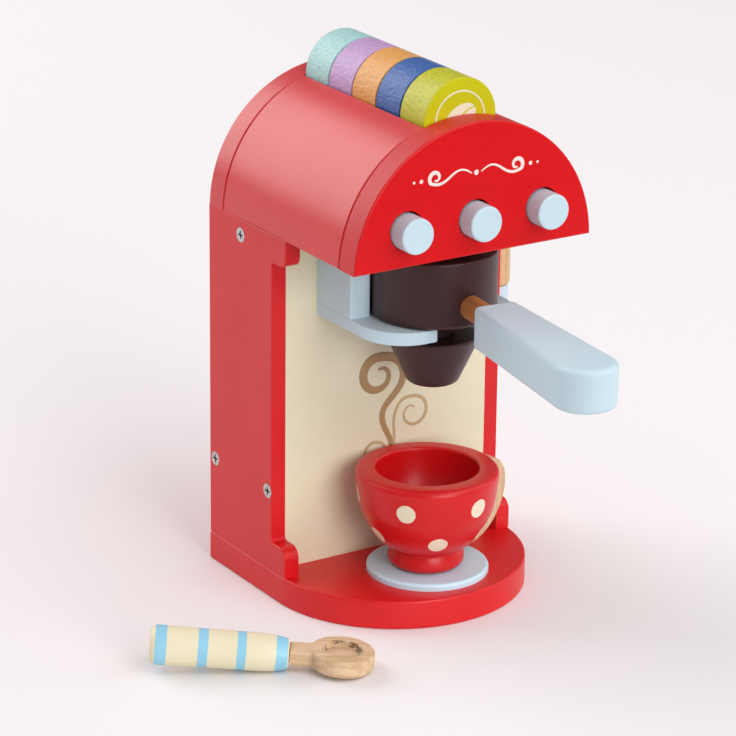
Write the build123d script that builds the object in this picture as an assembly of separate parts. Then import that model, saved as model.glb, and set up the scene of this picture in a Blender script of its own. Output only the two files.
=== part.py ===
"""Toy coffee maker: a painted wooden cafe machine with loose pods, cup, filter holder and spoon.

Units are millimetres.  X runs to the right, Y to the back and Z up.  The origin lies on the
underside of the base, at the centre of the base's round front.
"""
from build123d import *
import math
import os

# ---- driving dimensions ----------------------------------------------------------------------

# Casing
MACHINE_WIDTH = 120.0        # over both side panels, and across the head
REAR_Y = 60.5                # flush rear face of base, panels and head
BASE_T = 13.3                # thickness of the base plate
HEAD_Z = 170.0               # underside of the head above the floor
HEAD_DEPTH = 121.5           # head, front face to rear face
ARC_DROP = 1.35              # centre of the head's arc below the head's underside
PLATE_FRONT_T = 12.7         # head front plate
PLATE_BACK_T = 12.5          # head back plate
SHELL_T = 5.0                # bent cover between the two plates
PANEL_T = 7.2                # side panel thickness
PANEL_DEPTH = 54.2           # side panel, front edge to rear edge
EAR_REACH = 11.7             # how far ear and foot stand ahead of the panel's front edge
EAR_H = 12.6                 # height of the ear under the head
FOOT_H = 13.6                # height of the foot on the base
LOBE_R = 5.0                 # rounded free corner of ear and foot
LOBE_INNER_R = 1.8           # hollow corner where ear and foot meet the panel's front edge
FRONT_BOARD_T = 6.8
BACK_BOARD_T = 9.6
RAIL_H = 14.6                # top rail, under the head
RAIL_DEPTH = 20.0
RAIL_FROM_REAR = 27.5        # middle of the top rail, from the rear face
HEAD_FLOOR_T = 5.0
HEAD_FLOOR_GAP = 0.43        # between the head floor's sides and the shell
CLEAT_INSET = 9.2            # cleat on the head floor, over the top rail: from the floor's sides
CLEAT_H = 12.0

# Pods and their trough
POD_COUNT = 5
POD_R = 18.2
POD_GAP = 0.38               # between pods, and between the outer pods and the end plates
POD_IN_TROUGH = 0.8          # the trough's radius is this much larger than a pod's
TROUGH_DROP = 1.65           # axis of the trough below the head's top
TROUGH_WALL = 4.5
TROUGH_BOTTOM_T = 5.0

# Push buttons
BUTTON_R = 7.85
BUTTON_IN_HOLE = 0.65        # round a button in its hole
BUTTON_PITCH = 34.3
BUTTON_SAG = 0.35            # how much lower than its hole a loose button lies
BUTTON_OUT = 9.0             # how far a button stands out at rest
FLANGE_LIP = 1.6             # how far the collar that keeps a button in laps over its hole
FLANGE_T = 4.0
FLANGE_CLEAR = 0.85          # between collar and head floor
SPIGOT_IN_SPRING = 0.65      # between the spring and the stub that centres it
SPIGOT_L = 5.0
SPRING_LENGTH = 13.6         # at rest
SPRING_COIL_R = 5.3          # to the middle of the wire
SPRING_WIRE_R = 0.45
SPRING_TURNS = 6
BACKING_T = 6.0
BACKING_HEADROOM = 4.0       # between the springs' backing board and the trough
BACKING_SIDE_GAP = 0.87      # between its upper corners and the shell

# Fork that carries the filter holder
FORK_REACH = 57.5            # fork plate, from the front board to its front edge
FORK_T = 5.8
FORK_CORNER_R = 20.0
FORK_TIP_R = 1.5
SLOT_GAP = 1.6               # between the neck and the slot it runs in
BLOCK_W = 10.0
BLOCK_DEPTH = 28.1
HOLDER_SIDE_GAP = 0.6        # between the filter holder and the fork's blocks
HOLDER_HEADROOM = 4.0        # between the filter holder and the head

# Filter holder
HOLDER_FORWARD = 36.5        # its axis, ahead of the front board
HOLDER_WALL = 8.9            # round the recess that a pod drops into
HOLDER_FLOOR_T = 9.9
HOLDER_FOOT_ROUND = 2.0
RECESS_SPARE = 1.2           # how much deeper the recess is than a pod is long
NECK_R = 9.4
NECK_SHOW = 3.0              # how much of the neck shows under the fork
TENON_SHOULDER = 2.4
TENON_L = 6.0
CONE_TOP_R = 21.5
CONE_BOTTOM_R = 11.0
CONE_H = 23.0
CONE_ROUND = 3.5
DOWEL_R = 5.3
DOWEL_UP = 9.4               # axis of the dowel above the body's underside
DOWEL_SIDE = 3.9             # and to the right of the body's axis
DOWEL_SHOW = 24.6            # between body and handle
HANDLE_TURN = 6.3            # degrees that the handle points to the left of straight ahead
HANDLE_L = 92.0
HANDLE_NEAR_W = 20.0
HANDLE_FAR_W = 28.0
HANDLE_T = 19.0
HANDLE_NEAR_R = 2.6          # corners of the handle in plan
HANDLE_FAR_R = 13.0
HANDLE_SIDE = 1.6            # its middle, to the right of the body's axis
HANDLE_ABOVE_DOWEL = 0.7
HANDLE_SOCKET = 16.0         # how deep the dowel goes into the handle
SOCKET_FLOOR = 2.4           # wood left between the dowel and the recess

# Saucer and cup
SAUCER_R = 27.3
SAUCER_T = 3.0
SAUCER_X = 1.8               # axis of the saucer
CUP_X = 0.9                  # axis of the cup
CUP_H = 45.5
CUP_R = 32.1
CUP_RIM_ROUND = 3.0
CUP_RIM_W = 9.1              # width of the rim
CUP_MOUTH_ROUND = 1.2
CUP_INNER_DEPTH = 27.0
CUP_FOOT_R = 17.0
CUP_FOOT_H = 8.6
CUP_FOOT_ROUND = 3.4         # round lower edge of the foot
CUP_FOOT_WAIST = 1.4         # how much slimmer the foot's upper end is
GRIP_TURN = 10.0             # degrees that the cup's handle points behind +X
GRIP_T = 9.0
GRIP_INSET = 3.0             # middle of the handle's oval, inwards from the cup's widest place
GRIP_CENTRE_H = 22.2         # and above the cup's foot
GRIP_LONG_R = 20.8
GRIP_SHORT_R = 13.8
GRIP_LEAN = 32.0             # degrees that the oval's top leans outwards
GRIP_BAR = 6.2               # width of the bar around the finger hole
GRIP_ROUND = 1.6

# Steam wand
WAND_FROM_REAR = 35.5
WAND_PIVOT_DOWN = 20.0       # pivot below the head
WAND_R = 8.0
WAND_ABOVE = 11.0            # barrel above the pivot
WAND_BELOW = 28.8            # and below it
WAND_ROUND = 2.0
WAND_TIP_R = 7.4
WAND_TIP_L = 34.0
WAND_TIP_ROUND = 3.5
WAND_TENON_R = 4.0
WAND_TENON_L = 8.0
WAND_GAP = 0.4               # between the wand and the side panel
PIN_R = 3.0
PIN_HEAD_R = 5.0
PIN_HEAD_T = 3.0

# Spoon, lying on the floor
SPOON_ASIDE = 83.8           # middle of the handle's far end, from the machine's left side
SPOON_Y = -33.4
SPOON_TURN = -30.1           # degrees, from +X
SPOON_HANDLE_L = 59.3
SPOON_FAT_R = 8.6
SPOON_MIDDLE_R = 8.3
SPOON_MIDDLE_AT = 36.8       # where the handle has its middle radius, from its far end
SPOON_THIN_R = 6.5
SPOON_END_ROUND = 3.2
SPOON_REACH = 82.3           # far end of the handle to the middle of the scoop
SCOOP_R = 13.8
SCOOP_T = 8.4
SCOOP_ROUND = 2.2            # its lower edge
SCOOP_TOP_ROUND = 0.9
SCOOP_HOLLOW_R = 8.6
SCOOP_HOLLOW_DEPTH = 2.8
SCOOP_HOLLOW_ROUND = 1.4     # between the hollow's wall and its floor
SCOOP_RIM_ROUND = 0.4
SPOON_NECK_W = 8.8
SPOON_NECK_GAP = 0.5         # between the handle's end and the neck's shoulder
SPOON_NECK_CORNER = 3.0      # hollow corner between neck and scoop
SPOON_TENON_R = 3.5
SPOON_TENON_L = 12.0

# Screws and glue dowels
SCREW_HEAD_R = 3.3
SCREW_RIM = 0.4              # height of the straight rim of a screw's head
SCREW_SHANK_R = 1.7
SCREW_CONE_H = 2.2
SCREW_POINT_L = 3.0
PANEL_SCREW_BITE = 16.8      # how deep a screw goes into the second piece
BASE_SCREW_BITE = 16.7
HEAD_SCREW_BITE = 8.4
BLOCK_SCREW_BITE = 15.2
CROSS_W = 0.9                # cross recess in a screw's head
CROSS_L = 3.8
CROSS_DEPTH = 1.4
LOWER_SCREW_UP = 37.1        # lower panel screws, above the base
BLOCK_SCREW_DOWN = 6.9       # upper block screws, below the head
BLOCK_SCREW_UP = 14.5        # lower block screws, above the fork plate
PEG_R = 3.0
PEG_L = 18.0
PEG_INSET = 5.3              # from the trough's side and bottom to a glue dowel's axis
FORK_PEG_R = 2.5
FORK_PEG_L = 14.0
FORK_PEG_SINK = 3.6          # how deep a fork dowel goes into the fork plate

# Clearances and edges
REST_GAP = 0.3               # between pieces that can be lifted, pushed or slid apart
FIT = 0.05                   # round a pin, shank or dowel in its hole
POD_FIT = 0.6                # round a pod in the filter holder's recess
FLOOR_GAP = 0.1              # under the spoon
EDGE = 1.0                   # usual rounded edge of painted wood
FINE_EDGE = 0.5              # edge of a board that is flush with its neighbours
SEAM_EDGE = 0.6              # lower edge of the shell, over the side panels
SAUCER_EDGE = 1.4
SOFT_EDGE = 2.4              # edges of the filter holder's handle
V_GROOVE = 0.7               # groove where plate and shell meet

# ---- places worked out from the driving dimensions -------------------------------------------


def inside_shell(z):
    """Half the width inside the bent shell at a height."""
    return math.sqrt((HALF_W - SHELL_T) ** 2 - (z - ARC_Z) ** 2)


HALF_W = MACHINE_WIDTH / 2
ARC_Z = HEAD_Z - ARC_DROP
HEAD_FRONT_Y = REAR_Y - HEAD_DEPTH
SHELL_FRONT_Y = HEAD_FRONT_Y + PLATE_FRONT_T
SHELL_REAR_Y = REAR_Y - PLATE_BACK_T
PANEL_FRONT_Y = REAR_Y - PANEL_DEPTH
PANEL_INNER_X = HALF_W - PANEL_T
RAIL_Y = REAR_Y - RAIL_FROM_REAR
LOWER_SCREW_Z = BASE_T + LOWER_SCREW_UP
FLOOR_TOP_Z = HEAD_Z + HEAD_FLOOR_T
FLOOR_HALF_W = inside_shell(FLOOR_TOP_Z) - HEAD_FLOOR_GAP
CLEAT_HALF_W = FLOOR_HALF_W - CLEAT_INSET

TROUGH_R = POD_R + POD_IN_TROUGH
TROUGH_Z = ARC_Z + HALF_W - TROUGH_DROP
TROUGH_HALF_W = TROUGH_R + TROUGH_WALL
TROUGH_BOTTOM_Z = TROUGH_Z - TROUGH_R - TROUGH_BOTTOM_T
POD_Z = TROUGH_Z - TROUGH_R + REST_GAP + POD_R
POD_T = (SHELL_REAR_Y - SHELL_FRONT_Y - (POD_COUNT + 1) * POD_GAP) / POD_COUNT

BUTTON_HOLE_R = BUTTON_R + BUTTON_IN_HOLE
FLANGE_R = BUTTON_HOLE_R + FLANGE_LIP
BUTTON_Z = FLOOR_TOP_Z + FLANGE_CLEAR + FLANGE_R + BUTTON_SAG
SPIGOT_R = SPRING_COIL_R - SPRING_WIRE_R - SPIGOT_IN_SPRING
FLANGE_FRONT_Y = SHELL_FRONT_Y + REST_GAP
SPRING_FRONT_Y = FLANGE_FRONT_Y + FLANGE_T + REST_GAP
BACKING_FRONT_Y = SPRING_FRONT_Y + SPRING_LENGTH + REST_GAP
BACKING_TOP_Z = TROUGH_BOTTOM_Z - BACKING_HEADROOM
BACKING_HALF_W = inside_shell(BACKING_TOP_Z) - BACKING_SIDE_GAP

RECESS_R = POD_R + POD_FIT
RECESS_DEPTH = POD_T + RECESS_SPARE
HOLDER_R = RECESS_R + HOLDER_WALL
HOLDER_H = RECESS_DEPTH + HOLDER_FLOOR_T
HOLDER_Y = PANEL_FRONT_Y - HOLDER_FORWARD
HOLDER_TOP_Z = HEAD_Z - HOLDER_HEADROOM
HOLDER_Z = HOLDER_TOP_Z - HOLDER_H
FORK_TOP_Z = HOLDER_Z - REST_GAP
SLOT_R = NECK_R + SLOT_GAP
TENON_R = NECK_R - TENON_SHOULDER
CONE_TOP_Z = FORK_TOP_Z - FORK_T - NECK_SHOW
CONE_BOTTOM_Z = CONE_TOP_Z - CONE_H
DOWEL_Z = HOLDER_Z + DOWEL_UP
WALL_SOCKET = HOLDER_WALL - SOCKET_FLOOR
HANDLE_START = HOLDER_R + DOWEL_SHOW
HANDLE_Z = DOWEL_Z + HANDLE_ABOVE_DOWEL - HANDLE_T / 2
BLOCK_INNER_X = math.sqrt(HOLDER_R ** 2 - (HOLDER_FORWARD - BLOCK_DEPTH) ** 2) + HOLDER_SIDE_GAP
BLOCK_X = BLOCK_INNER_X + BLOCK_W / 2
FORK_W = 2 * (BLOCK_INNER_X + BLOCK_W)

CUP_Y = PANEL_FRONT_Y - CUP_R - REST_GAP
CUP_Z = BASE_T + SAUCER_T + REST_GAP
CUP_TOP_Z = CUP_Z + CUP_H
CUP_MOUTH_R = CUP_R - CUP_RIM_W
CUP_NECK_R = CUP_FOOT_R - CUP_FOOT_WAIST

WAND_X = HALF_W + WAND_GAP + WAND_R
WAND_Y = REAR_Y - WAND_FROM_REAR
WAND_PIVOT_Z = HEAD_Z - WAND_PIVOT_DOWN
WAND_TOP_Z = WAND_PIVOT_Z + WAND_ABOVE
WAND_BOTTOM_Z = WAND_PIVOT_Z - WAND_BELOW

SPOON_X = -HALF_W - SPOON_ASIDE

PANEL_SCREW_L = PANEL_T + PANEL_SCREW_BITE
BASE_SCREW_L = BASE_T + BASE_SCREW_BITE
HEAD_SCREW_L = RAIL_H + HEAD_FLOOR_T + HEAD_SCREW_BITE
BLOCK_SCREW_L = FRONT_BOARD_T + BLOCK_SCREW_BITE


# ---- small helpers ---------------------------------------------------------------------------

def along_y(profile, y_start, y_end):
    """Extrude a profile, drawn as X and Z, from one y to another."""
    plane = Plane(origin=(0, y_end, 0), x_dir=(1, 0, 0), z_dir=(0, -1, 0))
    return plane * extrude(profile, y_end - y_start)


def along_x(profile, x_start, x_end):
    """Extrude a profile, drawn as Y and Z, from one x to another."""
    plane = Plane(origin=(x_start, 0, 0), x_dir=(0, 1, 0), z_dir=(1, 0, 0))
    return plane * extrude(profile, x_end - x_start)


def block(x_min, x_max, y_min, y_max, z_min, z_max):
    """A box between two corners."""
    centre = ((x_min + x_max) / 2, (y_min + y_max) / 2, (z_min + z_max) / 2)
    return Pos(*centre) * Box(x_max - x_min, y_max - y_min, z_max - z_min)


def rod(radius, start, direction, length):
    """A cylinder from a point, along a direction."""
    return Plane(origin=start, z_dir=direction) * extrude(Circle(radius), length)


def turned(outline):
    """Revolve a closed half profile, drawn as radius and height, round Z."""
    return revolve(Plane.XZ * make_face(outline), Axis.Z)


def stepped(points):
    """A turned solid with straight steps, from its (radius, height) corners."""
    return turned(Polyline(*points, close=True))


def corners_at(sketch, places):
    """The corners of a sketch that lie at given places."""
    return [sketch.vertices().sort_by_distance((x, y, 0))[0] for x, y in places]


def end_edges(solid, axis):
    """The edges round a solid's first and last face along an axis."""
    faces = solid.faces().sort_by(axis)
    return faces[0].edges() + faces[-1].edges()


def round_at(solid, radius, height, size):
    """Round the circular edge of a turned solid that has this radius and height."""
    rings = [e for e in solid.edges().filter_by(GeomType.CIRCLE)
             if abs(e.radius - radius) < 0.01 and abs(e.center().Z - height) < 0.01]
    return fillet(rings, size)


def bored(solid, holes):
    """Cut a list of holes out of a solid."""
    for hole in holes:
        solid -= hole
    return solid


def group(solids):
    """Several separate solids kept as one node."""
    return Compound(children=list(solids))


# ---- screws and glue dowels ------------------------------------------------------------------

def screw(place, length):
    """A countersunk wood screw, its head's face at the place and its shank along the direction."""
    start, direction = place
    body = stepped([
        (0, 0), (SCREW_HEAD_R, 0), (SCREW_HEAD_R, SCREW_RIM), (SCREW_SHANK_R, SCREW_CONE_H),
        (SCREW_SHANK_R, length - SCREW_POINT_L), (0, length)])
    arm = Pos(0, 0, CROSS_DEPTH / 2) * Box(CROSS_L, CROSS_W, CROSS_DEPTH)
    body -= arm + Rot(0, 0, 90) * arm
    return Plane(origin=start, z_dir=direction) * body


def screw_hole(place, length):
    """The countersunk hole for a screw, with a small clearance all round."""
    start, direction = place
    hole = stepped([
        (0, -1), (SCREW_HEAD_R + FIT, -1), (SCREW_HEAD_R + FIT, SCREW_RIM + FIT),
        (SCREW_SHANK_R + FIT, SCREW_CONE_H + FIT), (SCREW_SHANK_R + FIT, length + REST_GAP),
        (0, length + REST_GAP)])
    return Plane(origin=start, z_dir=direction) * hole


def screws_at(places, length):
    """A group of equal screws."""
    return group(screw(place, length) for place in places)


def screw_holes_at(places, length):
    """The holes for a group of equal screws."""
    return [screw_hole(place, length) for place in places]


def pegs_at(places, radius, length):
    """A group of equal glue dowels."""
    return group(rod(radius, start, direction, length) for start, direction in places)


def peg_holes_at(places, radius, length):
    """The holes for a group of equal glue dowels, a little longer at both ends."""
    holes = []
    for start, direction in places:
        mouth = Vector(*start) - Vector(*direction) * REST_GAP
        holes.append(rod(radius + FIT, tuple(mouth), direction, length + 2 * REST_GAP))
    return holes


def panel_screw_places():
    """Places of the six screws through the side panels."""
    rail = (RAIL_Y, HEAD_Z - RAIL_H / 2)
    back = (REAR_Y - BACK_BOARD_T / 2, LOWER_SCREW_Z)
    front = (PANEL_FRONT_Y + FRONT_BOARD_T / 2, LOWER_SCREW_Z)
    return [((side * HALF_W, y, z), (-side, 0, 0))
            for side in (-1, 1) for y, z in (rail, back, front)]


def base_screw_places():
    """Places of the four screws that come up through the base into the panels."""
    x = HALF_W - PANEL_T / 2
    ys = (PANEL_FRONT_Y + PANEL_DEPTH * 0.25, PANEL_FRONT_Y + PANEL_DEPTH * 0.75)
    return [((side * x, y, 0), (0, 0, 1)) for side in (-1, 1) for y in ys]


def head_screw_places():
    """Places of the two screws that hold the head on the top rail."""
    x = CLEAT_HALF_W * 2 / 3
    return [((side * x, RAIL_Y, HEAD_Z - RAIL_H), (0, 0, 1)) for side in (-1, 1)]


def block_screw_places():
    """Places of the four screws from behind the front board into the fork blocks."""
    y = PANEL_FRONT_Y + FRONT_BOARD_T
    return [((side * BLOCK_X, y, z), (0, -1, 0))
            for side in (-1, 1) for z in (FORK_TOP_Z + BLOCK_SCREW_UP, HEAD_Z - BLOCK_SCREW_DOWN)]


def head_peg_places():
    """Places of the four glue dowels between the end plates and the trough."""
    x = TROUGH_HALF_W - PEG_INSET
    z = TROUGH_BOTTOM_Z + PEG_INSET
    return [((side * x, seam - PEG_L / 2, z), (0, 1, 0))
            for side in (-1, 1) for seam in (SHELL_FRONT_Y, SHELL_REAR_Y)]


def fork_peg_places():
    """Places of the four glue dowels between the fork plate and its blocks."""
    ys = (PANEL_FRONT_Y - BLOCK_DEPTH * 0.2, PANEL_FRONT_Y - BLOCK_DEPTH * 0.8)
    return [((side * BLOCK_X, y, FORK_TOP_Z - FORK_PEG_SINK), (0, 0, 1))
            for side in (-1, 1) for y in ys]


# ---- casing ----------------------------------------------------------------------------------

def base_plate():
    """D-shaped base: straight at the back, half round at the front."""
    outline = Circle(HALF_W) + Pos(0, REAR_Y / 2) * Rectangle(MACHINE_WIDTH, REAR_Y)
    plate = extrude(outline, BASE_T)
    plate = fillet(end_edges(plate, Axis.Z), EDGE)
    return bored(plate, screw_holes_at(base_screw_places(), BASE_SCREW_L))


def panel_outline():
    """Side of a panel, as Y and Z: a strip with an ear at the top front and a foot below."""
    front = PANEL_FRONT_Y
    tip = PANEL_FRONT_Y - EAR_REACH
    ear_z = HEAD_Z - EAR_H
    foot_z = BASE_T + FOOT_H
    outline = make_face(Polyline(
        (REAR_Y, BASE_T), (tip, BASE_T), (tip, foot_z), (front, foot_z), (front, ear_z),
        (tip, ear_z), (tip, HEAD_Z), (REAR_Y, HEAD_Z), close=True))
    outline = fillet(corners_at(outline, [(tip, foot_z), (tip, ear_z)]), LOBE_R)
    return fillet(corners_at(outline, [(front, foot_z), (front, ear_z)]), LOBE_INNER_R)


def wand_pin_hole():
    """The hole for the steam wand's pin, through the right panel."""
    start = (PANEL_INNER_X - 1, WAND_Y, WAND_PIVOT_Z)
    return rod(PIN_R + FIT, start, (1, 0, 0), PANEL_T + 2)


def side_panel(side):
    """A side panel; side is -1 for the left one and 1 for the right one."""
    panel = along_x(panel_outline(), PANEL_INNER_X, HALF_W)
    panel = fillet(panel.faces().sort_by(Axis.X)[-1].edges(), FINE_EDGE)
    if side < 0:
        panel = mirror(panel, Plane.YZ)
    holes = screw_holes_at(panel_screw_places(), PANEL_SCREW_L)
    holes += screw_holes_at(base_screw_places(), BASE_SCREW_L)
    if side > 0:
        holes.append(wand_pin_hole())
    return bored(panel, holes)


def front_board():
    """Board between the panels, behind the cup, flush with their front edges."""
    board = block(-PANEL_INNER_X, PANEL_INNER_X, PANEL_FRONT_Y,
                  PANEL_FRONT_Y + FRONT_BOARD_T, BASE_T, HEAD_Z)
    holes = screw_holes_at(panel_screw_places(), PANEL_SCREW_L)
    return bored(board, holes + screw_holes_at(block_screw_places(), BLOCK_SCREW_L))


def back_board():
    """Board between the panels that closes the back."""
    board = block(-PANEL_INNER_X, PANEL_INNER_X, REAR_Y - BACK_BOARD_T, REAR_Y, BASE_T, HEAD_Z)
    board = fillet(board.faces().sort_by(Axis.Y)[-1].edges(), FINE_EDGE)
    return bored(board, screw_holes_at(panel_screw_places(), PANEL_SCREW_L))


def top_rail():
    """Rail across the panels, under the head."""
    rail = block(-PANEL_INNER_X, PANEL_INNER_X, RAIL_Y - RAIL_DEPTH / 2,
                 RAIL_Y + RAIL_DEPTH / 2, HEAD_Z - RAIL_H, HEAD_Z)
    holes = screw_holes_at(panel_screw_places(), PANEL_SCREW_L)
    return bored(rail, holes + screw_holes_at(head_screw_places(), HEAD_SCREW_L))


# ---- head ------------------------------------------------------------------------------------

def head_segment(radius):
    """The head's half-round outline, as X and Z, with a given arc radius."""
    above = Pos(0, HEAD_Z + radius) * Rectangle(4 * radius, 2 * radius)
    return Pos(0, ARC_Z) * Circle(radius) & above


def arc_edges(solid, radius):
    """The round edges of a head piece that lie on its outer arc."""
    return [e for e in solid.edges().filter_by(GeomType.CIRCLE) if abs(e.radius - radius) < 0.01]


def head_front_plate():
    """Half-round front of the head, with three button holes."""
    plate = along_y(head_segment(HALF_W), HEAD_FRONT_Y, SHELL_FRONT_Y)
    rear_arc = ShapeList(arc_edges(plate, HALF_W)).sort_by(Axis.Y)[-1]
    plate = chamfer(rear_arc, V_GROOVE)
    plate = fillet(plate.faces().sort_by(Axis.Y)[0].edges(), EDGE)
    for x in (-BUTTON_PITCH, 0, BUTTON_PITCH):
        plate -= rod(BUTTON_HOLE_R, (x, HEAD_FRONT_Y - 1, BUTTON_Z), (0, 1, 0),
                     PLATE_FRONT_T + 2)
    return bored(plate, peg_holes_at(head_peg_places(), PEG_R, PEG_L))


def head_back_plate():
    """Half-round rear of the head."""
    plate = along_y(head_segment(HALF_W), SHELL_REAR_Y, REAR_Y)
    front_arc = ShapeList(arc_edges(plate, HALF_W)).sort_by(Axis.Y)[0]
    plate = chamfer(front_arc, V_GROOVE)
    plate = fillet(plate.faces().sort_by(Axis.Y)[-1].edges(), EDGE)
    return bored(plate, peg_holes_at(head_peg_places(), PEG_R, PEG_L))


def trough_channel():
    """The space of the trough: half round below, open above."""
    channel = Pos(0, TROUGH_Z) * Circle(TROUGH_R)
    channel += Pos(0, TROUGH_Z + TROUGH_R) * Rectangle(2 * TROUGH_R, 2 * TROUGH_R)
    return along_y(channel, SHELL_FRONT_Y - 1, SHELL_REAR_Y + 1)


def seam_edge(half):
    """Round the outer lower edge of half the shell, where it stands on a side panel."""
    lowest = half.faces().sort_by(Axis.Z)[0].edges().filter_by(Axis.Y)
    outermost = max(lowest, key=lambda e: abs(e.center().X))
    return half.fillet(SEAM_EDGE, [outermost])


def head_shells():
    """The bent cover, as its left and right half on either side of the trough."""
    ring = head_segment(HALF_W) - Pos(0, ARC_Z) * Circle(HALF_W - SHELL_T)
    shell = along_y(ring, SHELL_FRONT_Y, SHELL_REAR_Y)
    shell = chamfer(arc_edges(shell, HALF_W), V_GROOVE)
    left, right = (shell - trough_channel()).solids().sort_by(Axis.X)
    return seam_edge(left), seam_edge(right)


def pod_trough():
    """Block under the shell with the round channel that the pods lie in."""
    outline = Pos(0, TROUGH_BOTTOM_Z + TROUGH_Z / 2) * Rectangle(2 * TROUGH_HALF_W, TROUGH_Z)
    outline &= Pos(0, ARC_Z) * Circle(HALF_W - SHELL_T - FIT)
    solid = along_y(outline, SHELL_FRONT_Y, SHELL_REAR_Y) - trough_channel()
    return bored(solid, peg_holes_at(head_peg_places(), PEG_R, PEG_L))


def head_floor():
    """Thin board that closes the head from below."""
    floor = block(-FLOOR_HALF_W, FLOOR_HALF_W, SHELL_FRONT_Y, SHELL_REAR_Y, HEAD_Z, FLOOR_TOP_Z)
    return bored(floor, screw_holes_at(head_screw_places(), HEAD_SCREW_L))


def head_cleat():
    """Cleat on the head floor that the head screws bite in."""
    cleat = block(-CLEAT_HALF_W, CLEAT_HALF_W, RAIL_Y - RAIL_DEPTH / 2, RAIL_Y + RAIL_DEPTH / 2,
                  FLOOR_TOP_Z, FLOOR_TOP_Z + CLEAT_H)
    return bored(cleat, screw_holes_at(head_screw_places(), HEAD_SCREW_L))


def pods():
    """The five pods, in order from the rear of the trough to its front."""
    pieces = []
    for index in range(POD_COUNT):
        y = SHELL_REAR_Y - POD_GAP - index * (POD_T + POD_GAP)
        pod = along_y(Pos(0, POD_Z) * Circle(POD_R), y - POD_T, y)
        pieces.append(fillet(end_edges(pod, Axis.Y), FINE_EDGE))
    return pieces


# ---- push buttons ----------------------------------------------------------------------------

def push_button(x):
    """A button with its collar and its spring stub, front face first."""
    collar = FLANGE_FRONT_Y - HEAD_FRONT_Y + BUTTON_OUT
    back = collar + FLANGE_T
    button = stepped([
        (0, 0), (BUTTON_R, 0), (BUTTON_R, collar), (FLANGE_R, collar), (FLANGE_R, back),
        (SPIGOT_R, back), (SPIGOT_R, back + SPIGOT_L), (0, back + SPIGOT_L)])
    button = round_at(button, BUTTON_R, 0, EDGE)
    start = (x, HEAD_FRONT_Y - BUTTON_OUT, BUTTON_Z - BUTTON_SAG)
    return Plane(origin=start, z_dir=(0, 1, 0)) * button


def button_spring(x):
    """A coil spring between a button's collar and the backing board."""
    height = SPRING_LENGTH - 2 * SPRING_WIRE_R
    path = Helix(pitch=height / SPRING_TURNS, height=height, radius=SPRING_COIL_R)
    section = Plane(origin=path @ 0, z_dir=path % 0) * Circle(SPRING_WIRE_R)
    coil = sweep(section, path=path, is_frenet=True)
    start = (x, SPRING_FRONT_Y + SPRING_WIRE_R, BUTTON_Z - BUTTON_SAG)
    return Plane(origin=start, z_dir=(0, 1, 0)) * coil


def button_backing():
    """Board on the head floor that the springs push against."""
    return block(-BACKING_HALF_W, BACKING_HALF_W, BACKING_FRONT_Y, BACKING_FRONT_Y + BACKING_T,
                 FLOOR_TOP_Z, BACKING_TOP_Z)


# ---- fork ------------------------------------------------------------------------------------

def fork_plate():
    """Plate with a slot that is open to the front; the filter holder hangs in it."""
    front = PANEL_FRONT_Y - FORK_REACH
    half = FORK_W / 2
    outline = Pos(0, PANEL_FRONT_Y - FORK_REACH / 2) * Rectangle(FORK_W, FORK_REACH)
    outline = fillet(corners_at(outline, [(-half, front), (half, front)]), FORK_CORNER_R)
    mouth = HOLDER_Y - front + 1
    outline -= Pos(0, HOLDER_Y - mouth / 2) * Rectangle(2 * SLOT_R, mouth)
    outline -= Pos(0, HOLDER_Y) * Circle(SLOT_R)
    outline = fillet(corners_at(outline, [(-SLOT_R, front), (SLOT_R, front)]), FORK_TIP_R)
    plate = Pos(0, 0, FORK_TOP_Z - FORK_T) * extrude(outline, FORK_T)
    plate = fillet(end_edges(plate, Axis.Z), FINE_EDGE)
    return bored(plate, peg_holes_at(fork_peg_places(), FORK_PEG_R, FORK_PEG_L))


def fork_block(side):
    """Block between fork plate and head; side is -1 for the left one and 1 for the right one."""
    x = side * BLOCK_X
    piece = block(x - BLOCK_W / 2, x + BLOCK_W / 2, PANEL_FRONT_Y - BLOCK_DEPTH, PANEL_FRONT_Y,
                  FORK_TOP_Z, HEAD_Z)
    piece = fillet(piece.faces().sort_by(Axis.Y)[0].edges().filter_by(Axis.Z), EDGE)
    holes = peg_holes_at(fork_peg_places(), FORK_PEG_R, FORK_PEG_L)
    return bored(piece, holes + screw_holes_at(block_screw_places(), BLOCK_SCREW_L))


# ---- filter holder ---------------------------------------------------------------------------

def place_holder(piece):
    """Bring a piece that is drawn round Z, with its handle along -Y, to its place."""
    return Pos(0, HOLDER_Y, 0) * Rot(0, 0, -HANDLE_TURN) * piece


def dowel_rod(radius, start, length):
    """A rod along the handle's line, from a distance off the body's axis."""
    return rod(radius, (DOWEL_SIDE, -start, DOWEL_Z), (0, -1, 0), length)


def holder_body():
    """Turned body with a recess for a pod, a socket for the dowel and one for the spout."""
    floor_z = HOLDER_TOP_Z - RECESS_DEPTH
    body = stepped([
        (0, HOLDER_Z), (HOLDER_R, HOLDER_Z), (HOLDER_R, HOLDER_TOP_Z), (RECESS_R, HOLDER_TOP_Z),
        (RECESS_R, floor_z), (0, floor_z)])
    body = round_at(body, HOLDER_R, HOLDER_Z, HOLDER_FOOT_ROUND)
    body = round_at(body, HOLDER_R, HOLDER_TOP_Z, EDGE)
    body = round_at(body, RECESS_R, HOLDER_TOP_Z, EDGE)
    body -= rod(TENON_R + FIT, (0, 0, HOLDER_Z - 1), (0, 0, 1), TENON_L + REST_GAP + 1)
    socket = HOLDER_R - WALL_SOCKET - REST_GAP
    return place_holder(body - dowel_rod(DOWEL_R + FIT, socket, WALL_SOCKET + HOLDER_R))


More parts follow.
